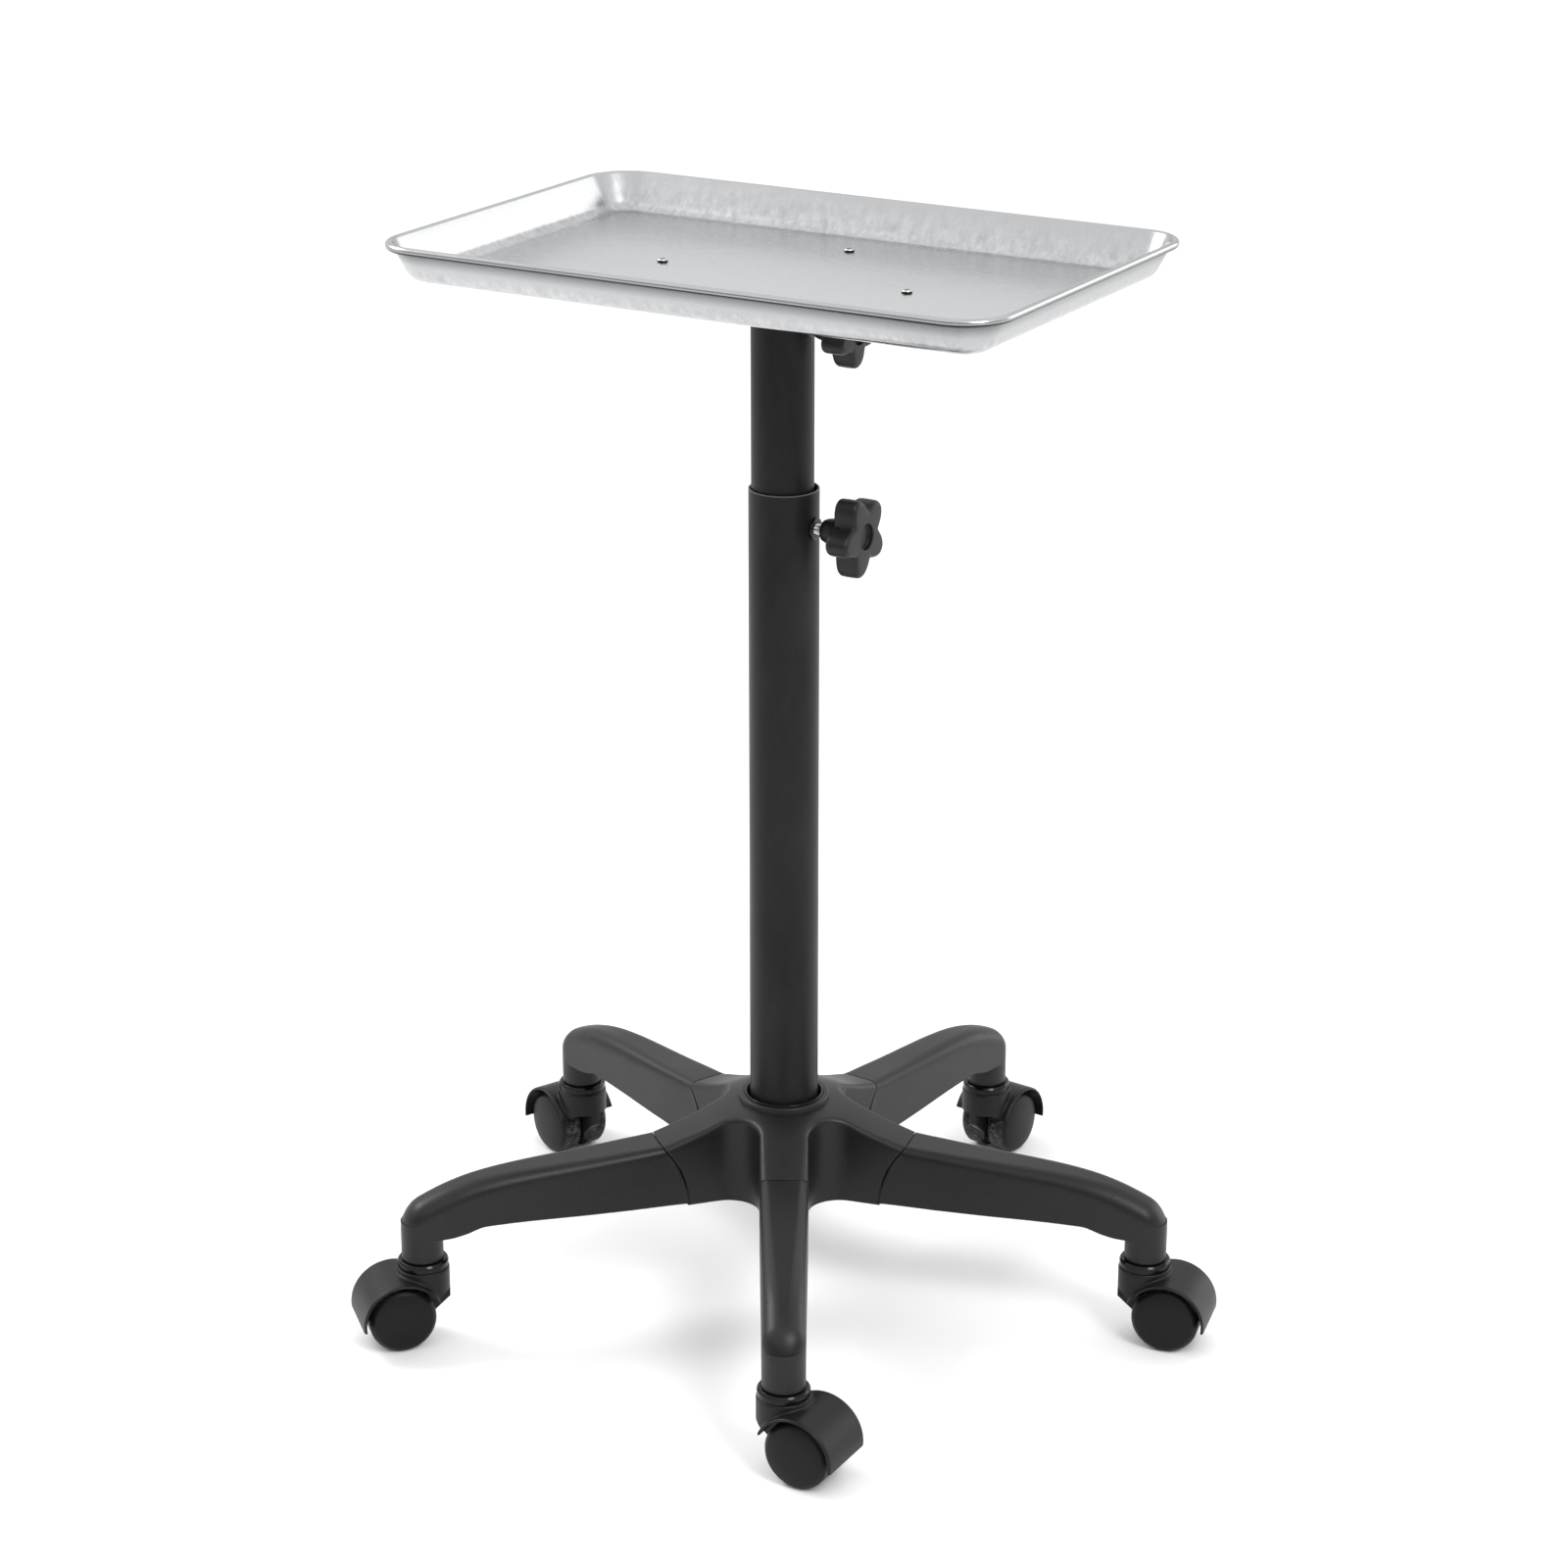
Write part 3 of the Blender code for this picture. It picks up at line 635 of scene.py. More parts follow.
def tray_row(half_x, half_y, corner, outset, z):
    """Points round the tray at an outset from the edge of its floor."""
    steps_corner, steps_side = 14, 8
    points = []
    for quarter, (sx, sy) in enumerate(((1, 1), (-1, 1), (-1, -1), (1, -1))):
        centre = Vector((sx * (half_x - corner), sy * (half_y - corner)))
        for k in range(steps_corner + 1):
            angle = math.pi / 2 * (quarter + k / steps_corner)
            reach = corner + outset
            points.append(centre + Vector((math.cos(angle), math.sin(angle))) * reach)
    row = []
    for here, after in zip(points, points[1:] + points[:1]):
        row.append(here)
        if (after - here).length > 0.1:
            row += [here.lerp(after, k / steps_side) for k in range(1, steps_side)]
    return [(p.x, p.y, z) for p in row]


def arc(centre, radius, start, end, steps):
    """Points of an arc, with its angles in radians."""
    return [(centre[0] + radius * math.cos(a), centre[1] + radius * math.sin(a))
            for a in (start + (end - start) * k / steps for k in range(steps + 1))]


def tray_section(tray, floor_z):
    """(outset, height) from the floor up the wall, round the bead and back along the outside."""
    lean = tray.wall_lean
    hinge = (0, floor_z + tray.fillet)
    centre = (tray.outset - tray.bead, floor_z + tray.depth - tray.bead)
    inside = [(-FLOOR_OVERLAP, floor_z)] + arc(hinge, tray.fillet, -math.pi / 2, -lean, 10)
    bead = arc(centre, tray.bead, math.pi - lean, CURL_END, 22)
    hollow = arc(centre, tray.bead - tray.sheet, CURL_END, math.pi - lean, 16)
    outside = arc(hinge, tray.fillet + tray.sheet, -lean, -math.pi / 2, 10)
    return inside + bead + hollow + outside + [(-FLOOR_OVERLAP, floor_z - tray.sheet)]


def mark_painted_shade(obj, tray, half_x, half_y, centre):
    """Writes the painted shade of each vertex: 0 on the floor, 0.25 up a wall, 0.5 on the bead, 1 under it."""
    heart = Vector((half_x - tray.corner, half_y - tray.corner))
    reach, level = tray.outset - tray.bead, TRAY_FLOOR_Z + tray.depth - tray.bead
    curl = obj.data.attributes.new("curl", "FLOAT", "POINT")
    for vert in obj.data.vertices:
        local = vert.co - centre
        beyond = Vector((max(0, abs(local.x) - heart.x), max(0, abs(local.y) - heart.y)))
        out, up = beyond.length - tray.corner - reach, local.z - level
        share = max(0, min(0.25, 0.25 * (beyond.length - tray.corner) / (3 * MM)))
        if math.hypot(out, up) < tray.bead + 0.05 * MM:
            beneath = math.atan2(up, out) < BEAD_SHADE or math.hypot(out, up) < tray.bead * 0.8
            share = 1.0 if beneath else 0.5
        curl.data[vert.index].value = share


def screw_seat():
    """Cutter for a screw's hole through the tray and the cross, the floor at z = 0."""
    return cylinder(SCREW_SHANK + GAP, -SCREW_LENGTH - MM, MM, 48)


def cross_recess(span, width, depth):
    """Cutter for a cross recess, its top above z = 0."""
    bars = [block((-span, -width, -depth), (span, width, MM)),
            block((-width, -span, -depth), (width, span, MM))]
    return combined("UNION", *bars)


def screw_places():
    """Where each of the tray's screws stands on its floor."""
    return [Vector((*middle(f"tray_screw_{k}").xy, TRAY_FLOOR_Z)) for k in range(1, 5)]


def screw_seats(centre):
    """Cutters for all the screws, about a centre."""
    return [moved(screw_seat(), Matrix.Translation(place - centre)) for place in screw_places()]


class BuildTray(bpy.types.Operator):
    """Build the pressed tray with its rolled rim and screw seats"""
    bl_idname = "cart.build_tray"
    bl_label = "Tray"

    def execute(self, context):
        tray = context.scene.cart_tray
        half = size("tray") / 2
        half_x, half_y = half.x - tray.outset, half.y - tray.outset
        rows = [tray_row(half_x, half_y, tray.corner, outset, z)
                for outset, z in tray_section(tray, TRAY_FLOOR_Z)]
        shell = capped(skin(rows))
        centre = Vector((*middle("tray").xy, 0))
        shell = combined("DIFFERENCE", shell, *screw_seats(centre))
        metal = finish("Rolled tray metal", tray_metal, tray.colour)
        made = piece("tray_pressing", shell, Matrix.Translation(centre), "tray_top", metal,
                     ["tray"])
        # Painted shade: walls darker than the floor, the bead darker still, a painted shadow under the curl
        mark_painted_shade(made, tray, half_x, half_y, centre)
        return {"FINISHED"}


class BuildTrayScrews(bpy.types.Operator):
    """Build the tray's pan-head screws and the nuts beneath it"""
    bl_idname = "cart.build_tray_screws"
    bl_label = "Tray screws"

    def execute(self, context):
        zinc = finish("Zinc plate", zinc_plate, BRIGHT_ZINC)
        grime = finish("Screw grime", gloss_black)
        foot, seat = NUT_TOP - 0.2 * MM, 0.05 * MM
        dome = (SCREW_HEAD - 0.5 * MM, SCREW_RISE - 0.3 * MM, 0.9 * MM)
        head = lathe(eased([(0, SCREW_RISE), dome, (SCREW_HEAD, seat, 0.2 * MM), (SCREW_SHANK, seat),
                            (SCREW_SHANK, foot), (0, foot)]), 48)
        recess = moved(cross_recess(2.3 * MM, 0.6 * MM, 2 * MM),
                       Matrix.Translation((0, 0, SCREW_RISE)))
        head = combined("DIFFERENCE", head, recess)
        thread = threaded(SCREW_SHANK, SCREW_PITCH, -SCREW_LENGTH, NUT_TOP, 20)
        nut = hexagon(4 * MM, NUT_FOOT, NUT_TOP)
        painted_shade_band = TRAY_FLOOR_Z - MM, TRAY_FLOOR_Z + SCREW_RISE - HEAD_SHINE
        for k, place in enumerate(screw_places(), 1):
            shape = head.copy()
            join(shape, thread, nut)
            made = piece(f"tray_screw_{k}_detail", shape, Matrix.Translation(place), "tray_top",
                         zinc, [f"tray_screw_{k}"])
            # Painted shade on the head's sides and down in its cross recess, below the bright top
            darken(made, grime, lambda point: painted_shade_band[0] < point.z < painted_shade_band[1])
        return {"FINISHED"}


def join(bm, *others):
    """Adds copies of other closed shapes to a shape."""
    for other in others:
        mesh = bpy.data.meshes.new("part")
        other.to_mesh(mesh)
        bm.from_mesh(mesh)
        bpy.data.meshes.remove(mesh)


def hexagon(across, low, high):
    """A hexagonal nut or head with its corners chamfered; across is half its flats' distance."""
    corner, chamfer = across * 1.15, across * 0.175
    blank = lathe([(0, high), (across * 0.98, high), (corner, high - chamfer), (corner, low),
                   (0, low)], 48)
    prism = bmesh.new()
    reach = across / math.cos(math.pi / 6)
    bmesh.ops.create_cone(prism, cap_ends=True, segments=6, radius1=reach, radius2=reach,
                          depth=high - low + 2 * MM,
                          matrix=Matrix.Translation((0, 0, (low + high) / 2)))
    return combined("INTERSECT", blank, prism)


def weld_seam(radius, z):
    """A rippled weld bead round a tube about Z."""
    ripples, bead, sink = 46, 2.2 * MM, 0.6 * MM
    sections, steps = 8, ripples * 4
    rows = []
    for k in range(sections):
        angle = 2 * math.pi * k / sections
        row = []
        for i in range(steps):
            turn = 2 * math.pi * i / steps
            swell = bead * (0.9 + 0.1 * math.sin(ripples * turn))
            out = radius + sink + swell * math.cos(angle)
            row.append((out * math.cos(turn), out * math.sin(turn),
                        z - sink + swell * math.sin(angle)))
        rows.append(row)
    return outward(skin(rows + rows[:1]))


class BuildBracket(bpy.types.Operator):
    """Build the cross under the tray and its welded tube"""
    bl_idname = "cart.build_bracket"
    bl_label = "Tray bracket"

    def execute(self, context):
        settings = context.scene.cart_post
        coat = finish("Bracket paint", powder_coat, BRACKET_COAT)
        low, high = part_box("tray_bracket")
        centre = Vector((*middle("tray_bracket").xy, 0))
        reach_x, reach_y = (high.x - low.x) / 2, (high.y - low.y) / 2
        half, rounding, inner = 12.5 * MM, 12.3 * MM, 9 * MM
        quarter = [(reach_x, -half, rounding), (reach_x, half, rounding), (half, half, inner),
                   (half, reach_y, rounding), (-half, reach_y, rounding), (-half, half, inner)]
        outline = eased(quarter + [(-x, -y, r) for x, y, r in quarter], closed=True)
        cross = plate(outline, low.z, high.z, 0.4 * MM)
        cross = combined("DIFFERENCE", cross, *screw_seats(centre))
        place = Matrix.Translation(centre)
        piece("bracket_cross", cross, place, "tray_top", coat, ["tray_bracket"])
        foot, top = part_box("bracket_tube")
        radius = (top.x - foot.x) / 2
        wall = 2 * MM
        stub = lathe(eased([(radius, top.z), (radius, foot.z, settings.edge),
                            (radius - wall, foot.z, settings.edge), (radius - wall, top.z)]))
        piece("bracket_tube_detail", stub, place, "tray_top", coat,
              ["bracket_tube"])
        piece("bracket_weld", weld_seam(radius, low.z), place, "tray_top", coat)
        return {"FINISHED"}


# --- Post ---


def tube(low, high, radius, wall, edge):
    """A tube about Z with both ends rounded."""
    return lathe(eased([(radius, high, edge), (radius, low, edge), (radius - wall, low, edge),
                        (radius - wall, high, edge)], closed=True), 128)


def round_hole(radius, start, end, z):
    """Cutter for a hole along +X at a height."""
    return moved(cylinder(radius, start, end, 48), along_x((0, 0, z)))


class BuildPost(bpy.types.Operator):
    """Build the two tubes of the post"""
    bl_idname = "cart.build_post"
    bl_label = "Post"

    def execute(self, context):
        post = context.scene.cart_post
        tubes = [("outer_tube", POST, "base", "height_rivet_nut"),
                 ("inner_tube", INNER_POST, "post", "tray_rivet_nut")]
        for node, axis, body, nut in tubes:
            low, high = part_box(node)
            coat = finish(f"Powder coat {node}", powder_coat, post.colour, high.z)
            radius = (high.x - low.x) / 2
            wall = tube(low.z, high.z, radius, post.wall, post.edge)
            hole = round_hole(5.8 * MM, 0, radius + 5 * MM, middle(nut).z)
            wall = combined("DIFFERENCE", wall, hole)
            piece(f"{node}_detail", wall, Matrix.Translation(axis), body, coat,
                  [node])
        nylon = finish("Base nylon", moulded_nylon, context.scene.cart_base.colour)
        repaint("inner_tube_glide", nylon)
        repaint("post_plug", finish("Dark steel", zinc_plate, DARK_STEEL))
        return {"FINISHED"}


# --- Clamps ---


def knob_rows(knob, reach):
    """Rings of a star knob from the end of its neck, along Z, to the middle of its face."""
    lobes, valley = knob.lobes, knob.valley * reach
    head, face = knob.neck, knob.neck + knob.head
    steps = 28 * lobes

    def ring(z, radius, share=0.0, inset=0.0):
        """A ring that is round at share 0 and the star, drawn in by an inset, at share 1."""
        row = []
        for i in range(steps):
            angle = 2 * math.pi * i / steps
            wave = (1 + math.cos(lobes * angle)) / 2
            star = valley + (reach - valley) * wave ** 0.8 - inset
            r = radius * (1 - share) + star * share
            row.append((r * math.cos(angle), r * math.sin(angle), z))
        return row

    neck = eased(mm((5, 0), (7.6, 0, 0.8), (9, 3.6, 4), (9.8, 9, 5), (12, 13.6, 4), (13.2, 15.4)))
    rows = [ring(z, r) for r, z in neck]
    under, top = 3.2 * MM, 4.2 * MM
    rows += [ring(head + share * 0.4 * MM, 13.6 * MM, share, under) for share in (0.25, 0.6, 1.0)]
    for k in range(1, 7):
        turn = math.pi / 2 * k / 6
        rows.append(ring(head + 0.4 * MM + under * (1 - math.cos(turn)), 0, 1,
                         under * (1 - math.sin(turn))))
    rows.append(ring((head + face) / 2, 0, 1, -0.15 * MM))
    for k in range(9):
        turn = math.pi / 2 * k / 8
        rows.append(ring(face - top * (1 - math.sin(turn)), 0, 1, top * (1 - math.cos(turn))))
    rows += [ring(face + 0.25 * MM * lift, knob.recess + 1.2 * MM, share, top)
             for lift, share in ((0.5, 0.6), (0.8, 0.3), (1, 0))]
    inner = [(knob.recess + 1.2 * MM, face + 0.25 * MM), (knob.recess, face + 0.25 * MM, 0.8 * MM),
             (knob.recess - 0.3 * MM, face - 3 * MM, 0.9 * MM), (2 * MM, face - 3 * MM)]
    rows += [ring(z, r) for r, z in eased(inner)[1:]]
    return rows


class BuildClamps(bpy.types.Operator):
    """Build the star knobs, clamp screws and rivet nuts"""
    bl_idname = "cart.build_clamps"
    bl_label = "Clamps"

    def execute(self, context):
        knob, post = context.scene.cart_knob, context.scene.cart_post
        zinc = finish("Zinc plate", zinc_plate, BRIGHT_ZINC)
        dark = finish("Black steel", zinc_plate, BLACK_STEEL)
        nylon = finish("Knob nylon", moulded_nylon, knob.colour, 0.36, 0.3)
        for name, body, turn, reach in (("height", "base", math.radians(203), 30 * MM),
                                        ("tray", "post", 0, 26.5 * MM)):
            axis = Vector(JOINTS[f"{name}_knob_turn"]["pos_m"])
            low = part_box(f"{name}_knob")[0]
            shape = capped(skin(knob_rows(knob, reach)))
            piece(f"{name}_knob_detail", shape, along_x((low.x, axis.y, axis.z), turn),
                  f"{name}_knob", nylon, [f"{name}_knob"])
            tip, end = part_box(f"{name}_clamp_screw")
            stud = threaded(4 * MM, post.pitch, 0, end.x - tip.x)
            piece(f"{name}_screw_detail", stud, along_x((tip.x, axis.y, axis.z)),
                  f"{name}_screw", zinc, [f"{name}_clamp_screw"])
            inner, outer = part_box(f"{name}_rivet_nut")
            deep = outer.x - inner.x
            flange = 8 * MM
            nut = lathe(eased([(4.25 * MM, 0), (5.5 * MM, 0), (5.5 * MM, deep - 1.3 * MM),
                               (flange, deep - 1.3 * MM, 0.3 * MM), (flange, deep, 0.5 * MM),
                               (4.9 * MM, deep), (4.25 * MM, deep - 0.6 * MM)]), 64)
            piece(f"{name}_nut_detail", nut, along_x((inner.x, axis.y, axis.z)), body, dark,
                  [f"{name}_rivet_nut"])
        return {"FINISHED"}


# --- Base: the hub stands about the post, and each arm runs along its own +X from the post ---

HUB_FOOT_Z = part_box("hub")[0].z
# Each line gives (distance from the post, value) points: heights of the upper and lower surfaces
# and an arm's upper rounding. SEAM is the joint between a stub of the hub and its arm.
HUB_TOP = mm((28, 155.9), (33.5, 155.5), (50, 152), (75, 142), (102, 133.4))
ARM_TOP = mm((97, 134.3), (150, 131.2), (210, 128.3), (236, 125.6), (256, 121.5), (272, 116),
             (286, 109.5), (295.6, 103.5))
ARM_EDGE = mm((97, 6.2), (150, 8), (200, 9.5), (240, 11.5), (262, 13.2), (300, 13.4))
ARM_FOOT = mm((70, 85.8), (150, 87.8), (235, 90), (250, 86), (262, 84), (300, 84))
SEAM = mm((80, 80), (80.5, 92), (84, 108), (90, 121), (99, 133.6), (101, 136))
STUB_HALF_WIDTH = 18 * MM
TIP = 15.5 * MM  # Radius of an arm's round end
TONGUE = 13 * MM  # Half width of the tongue that plugs into the hub
BOSS_FOOT = 66 * MM  # Height of the lower end of the castor bosses
BOSS_SKIN = TIP - 0.05 * MM  # Radius of the boss, a hair inside the arm's end
STEM_HOLE = 5.8 * MM
ARM_SCREW_X = 75 * MM  # From the post to the screw under an arm
ARM_SCREW_Z = 91.7 * MM  # Height of that screw's face
FACE_DOWN = Matrix.Rotation(math.pi, 4, "X")


def seam_at(z):
    """Distance from the post at which a stub of the hub meets its arm, at a height."""
    return height_along([(height, x) for x, height in SEAM], z)


def rib(station, share, offset, inset, edge, out, inner, top, foot, foot_edge):
    """Points from the foot's middle out, up the wall, over the rounded edge and in to the spine.

    station is the point of the outline in plan, out its normal and inner the spine's point. With
    a share, the rib bends to follow the seam.
    """
    def bent(plan, z):
        """A point of the plan at a height, moved along with the seam there."""
        x = plan.x
        if share:
            x += share * (seam_at(z) + offset - station.x)
        return Vector((x, plan.y, z))

    def topped(plan, drop):
        """A point of the plan at a drop below the upper surface."""
        z = top(plan)
        for _ in range(3 if share else 0):
            z = top(bent(plan, z - drop))
        return bent(plan, z - drop)

    points = [bent(inner, foot), bent(station - out * (foot_edge + inset), foot)]
    wall = station - out * inset
    shoulder = topped(wall, edge).z
    for climb in (0, 0.2, 0.45, 0.7, 0.9):
        z = foot + foot_edge + (shoulder - foot - foot_edge) * climb
        points.append(bent(wall, z))
    steps = 7
    for k in range(steps + 1):
        turn = math.pi / 2 * k / steps
        plan = wall - out * edge * (1 - math.cos(turn))
        points.append(topped(plan, edge * (1 - math.sin(turn)) + inset * math.sin(turn)))
    start = wall - out * edge
    for along in (0.15, 0.45, 0.75, 1):
        points.append(topped(start.lerp(inner, along), inset))
    return points


def seam_ribs(made, station, base, side):
    """The first ribs at the seam, which round its rim; side is -1 on the hub and 1 on an arm."""
    out, inner = Vector((0, 1)), Vector((station.x, 0))
    return [made(station, out, inner, 1, side * (base.seam + step), inset)
            for step, inset in ((0, 0.5 * MM), (0.2 * MM, 0.15 * MM), (0.5 * MM, 0))]


def hub_half(base):
    """Ribs of one half of a stub, from its seam to the middle of the valley beside it."""
    half_step = math.pi / 5
    spread = STUB_HALF_WIDTH + base.valley
    centre = Vector((math.cos(half_step), math.sin(half_step))) * spread / math.sin(half_step)
    core = 30 * MM

    def top(plan):
        return height_along(HUB_TOP, Vector(plan[:2]).length)

    def made(station, out, inner, share=0.0, offset=0.0, inset=0.0):
        near_seam = max(0, min(1, (station.x - 62 * MM) / (20 * MM)))
        edge = base.hub_edge + (base.stub_edge - base.hub_edge) * near_seam
        return rib(station, share, offset, inset, edge, out, inner, top, HUB_FOOT_Z,
                   base.foot_edge)

    out = Vector((0, 1))
    ribs = seam_ribs(made, Vector((90 * MM, STUB_HALF_WIDTH)), base, -1)
    for share, x in ((0.75, 84), (0.5, 78), (0.25, 72), (0, 68), (0, 64), (0, 60)):
        side = Vector((x * MM, STUB_HALF_WIDTH))
        ribs.append(made(side, out, Vector((side.x, 0)), share, -base.seam))
    steps, bend = 14, 0.4
    tangent = centre.x
    for k in range(steps + 1):
        t = k / steps
        angle = -math.pi / 2 - t * (math.pi / 2 - half_step)
        outline = Vector((math.cos(angle), math.sin(angle)))
        station = centre + outline * base.valley
        if t < bend:
            inner = Vector((tangent + (core - tangent) * t / bend, 0))
        else:
            swing = half_step * (t - bend) / (1 - bend)
            inner = Vector((math.cos(swing), math.sin(swing))) * core
        ribs.append(made(station, -outline, inner))
    return ribs


def arm_half(base):
    """Ribs of one half of an arm along +X, from its seam round to its tip."""
    def top(plan):
        return height_along(ARM_TOP, plan[0])

    def made(station, out, inner, share=0.0, offset=0.0, inset=0.0, foot=None):
        foot = height_along(ARM_FOOT, station.x) if foot is None else foot
        edge = height_along(ARM_EDGE, station.x) * base.edge
        return rib(station, share, offset, inset, edge, out, inner, top, foot, base.foot_edge)

    root = 18.2 * MM
    start = 90 * MM

    def side(x):
        return Vector((x, root + (TIP - root) * max(0, x - start) / (ARM_LENGTH - start)))

    out = Vector((0, 1))
    ribs = seam_ribs(made, side(start), base, 1)
    for share, x in ((0.8, 98), (0.6, 104), (0.4, 110), (0.2, 116)):
        ribs.append(made(side(x * MM), out, Vector((x * MM, 0)), share, base.seam))
    for x in [122 + 8 * k for k in range(14)] + list(range(232, 280, 4)):
        ribs.append(made(side(x * MM), out, Vector((x * MM, 0))))
    centre = Vector((ARM_LENGTH, 0))
    ribs.append(made(side(ARM_LENGTH - 0.05 * MM), out, Vector((ARM_LENGTH - 0.05 * MM, 0))))
    for k in range(17):
        angle = math.pi / 2 * (1 - k / 16)
        outline = Vector((math.cos(angle), math.sin(angle)))
        ribs.append(made(centre + outline * TIP, outline, centre, foot=BOSS_FOOT))
    return ribs


def mirrored(ribs):
    """Both halves of a shape whose ribs run on one side of the XZ plane, closed at the first."""
    closing = [Vector((point.x, 0, point.z)) for point in ribs[0]]
    bm = skin([closing] + ribs, looped=False)
    bmesh.ops.remove_doubles(bm, verts=bm.verts, dist=MERGE)
    bmesh.ops.mirror(bm, geom=bm.verts[:] + bm.edges[:] + bm.faces[:], merge_dist=MERGE, axis="Y")
    return bm


def arm_shape(base):
    """One arm along +X with its castor boss, tongue and hollow underside."""
    arm = capped(mirrored(arm_half(base)))
    end_place = Matrix.Translation((ARM_LENGTH, 0, 0))
    flare = TIP + 7 * MM
    profile = [(0, 96 * MM), (flare, 96 * MM), (flare, 89.5 * MM), (BOSS_SKIN, 84 * MM, 4 * MM),
               (BOSS_SKIN, BOSS_FOOT, 0.8 * MM), (0, BOSS_FOOT)]
    boss = moved(lathe(eased(profile)), end_place)
    round_end = moved(cylinder(BOSS_SKIN, 50 * MM, 100 * MM), end_place)
    behind = block((ARM_LENGTH - 40 * MM, -TIP + 0.15 * MM, 60 * MM),
                   (ARM_LENGTH, TIP - 0.15 * MM, 95 * MM))
    boss = combined("INTERSECT", boss, combined("UNION", round_end, behind))
    tongue = block((52 * MM, -TONGUE, 96 * MM), (118 * MM, TONGUE, 124 * MM), 0.8 * MM)
    arm = combined("UNION", arm, boss, tongue)
    cutters = []
    for start, end in ((126, 166), (169, 209), (212, 258)):
        half = 14 - 2.2 * (start - 120) / 140
        cutters.append(block((start * MM, -half * MM, 70 * MM), (end * MM, half * MM, 118 * MM),
                             1.5 * MM))
    cutters.append(moved(cylinder(3.3 * MM, 80 * MM, 130 * MM, 32),
                         Matrix.Translation((ARM_SCREW_X, 0, 0))))
    cutters.append(moved(cylinder(STEM_HOLE, 60 * MM, 100 * MM, 48), end_place))
    return combined("DIFFERENCE", arm, *cutters)


def arm_angles():
    """Directions of the arms about the post, from their castors' swivels."""
    angles = []
    for k in ARMS:
        out = Vector(JOINTS[f"castor_{k}_swivel"]["pos_m"]).xy - POST.xy
        angles.append(math.atan2(out.y, out.x))
    return angles


class BuildHub(bpy.types.Operator):
    """Build the five-armed hub, its ring and the bolt beneath it"""
    bl_idname = "cart.build_hub"
    bl_label = "Hub"

    def execute(self, context):
        base = context.scene.cart_base
        nylon = finish("Base nylon", moulded_nylon, base.colour)
        angles = arm_angles()
        half = mirrored(hub_half(base))
        hub = bmesh.new()
        join(hub, *turned_copies(half, angles))
        hub = capped(hub)
        collar = lathe(eased(mm((0, 160), (33.5, 160, 1.4), (34.2, 154), (34, 140), (34, 100),
                                (0, 100))))
        hub = combined("UNION", hub, collar)
        bore = lathe(mm((0, 180), (29.8, 180), (29.8, 149.5), (25.7, 149.5), (25.7, 102),
                        (5.5, 102), (5.5, 94), (15, 94), (15, 70), (0, 70)))
        socket = block((50 * MM, -13.5 * MM, 80 * MM), (112 * MM, 13.5 * MM, 127 * MM), 1 * MM)
        hub = combined("DIFFERENCE", hub, bore, *turned_copies(socket, angles))
        place = Matrix.Translation(POST)
        piece("hub_moulding", hub, place, "base", nylon, ["hub"])
        gloss = finish("Gloss black", gloss_black)
        ring = lathe(eased(mm((25.75, 150), (29.5, 150), (29.5, 161, 0.7), (28.1, 161, 0.6),
                              (25.9, 157.2, 0.5), (25.75, 156.5)), closed=True), 128)
        piece("hub_ring_detail", ring, place, "base", gloss, ["hub_ring"])
        zinc = finish("Zinc plate", zinc_plate, BRIGHT_ZINC)
        bolt = hexagon(8.4 * MM, 85.5 * MM, 92 * MM)
        washer = lathe(eased(mm((0, 93.7), (12, 93.7, 0.3), (12, 91.8, 0.3), (0, 91.8))), 64)
        shank = threaded(5 * MM, 1.5 * MM, 93.6 * MM, 122 * MM)
        join(bolt, washer, shank)
        piece("post_bolt_detail", bolt, place, "base", zinc, ["post_bolt"])
        return {"FINISHED"}


class BuildArms(bpy.types.Operator):
    """Build the five arms and the screws that hold them in the hub"""
    bl_idname = "cart.build_arms"
    bl_label = "Arms"

    def execute(self, context):
        base = context.scene.cart_base
        nylon = finish("Base nylon", moulded_nylon, base.colour)
        zinc = finish("Zinc plate", zinc_plate, BRIGHT_ZINC)
        arm = arm_shape(base)
        head = lathe(eased(mm((0, 91.7), (4.2, 91.7, 1), (5.5, 93, 1), (5.5, 95.7), (0, 95.7))), 48)
        recess = moved(cross_recess(2.8 * MM, 0.55 * MM, 2 * MM),
                       Matrix.Translation((0, 0, ARM_SCREW_Z)) @ FACE_DOWN)
        head = combined("DIFFERENCE", head, recess)
        join(head, threaded(3 * MM, 1 * MM, 95.6 * MM, 129.5 * MM, 20))
        for k, angle in zip(ARMS, arm_angles()):
            place = Matrix.Translation(POST) @ Matrix.Rotation(angle, 4, "Z")
            piece(f"arm_{k}_moulding", arm.copy(), place, "base", nylon,
                  [f"arm_{k}"])
            piece(f"arm_{k}_screw_detail", head.copy(),
                  place @ Matrix.Translation((ARM_SCREW_X, 0, 0)), "base", zinc,
                  [f"arm_screw_{k}"])
        return {"FINISHED"}


# --- Castors: each stands on its own stem's axis and trails along its own +X ---

TRAIL = 20 * MM  # From a stem's axis to its wheels' axis
AXLE_Z = JOINTS["wheel_left_1_roll"]["pos_m"][2]
HOOD_BOSS = 19.4 * MM
STEM_SEAT_Z = 49.7 * MM


def across(bm, place):
    """Lays a shape's Z along -Y at a place."""
    return moved(bm, Matrix.Translation(place) @ Matrix.Rotation(math.pi / 2, 4, "X"))


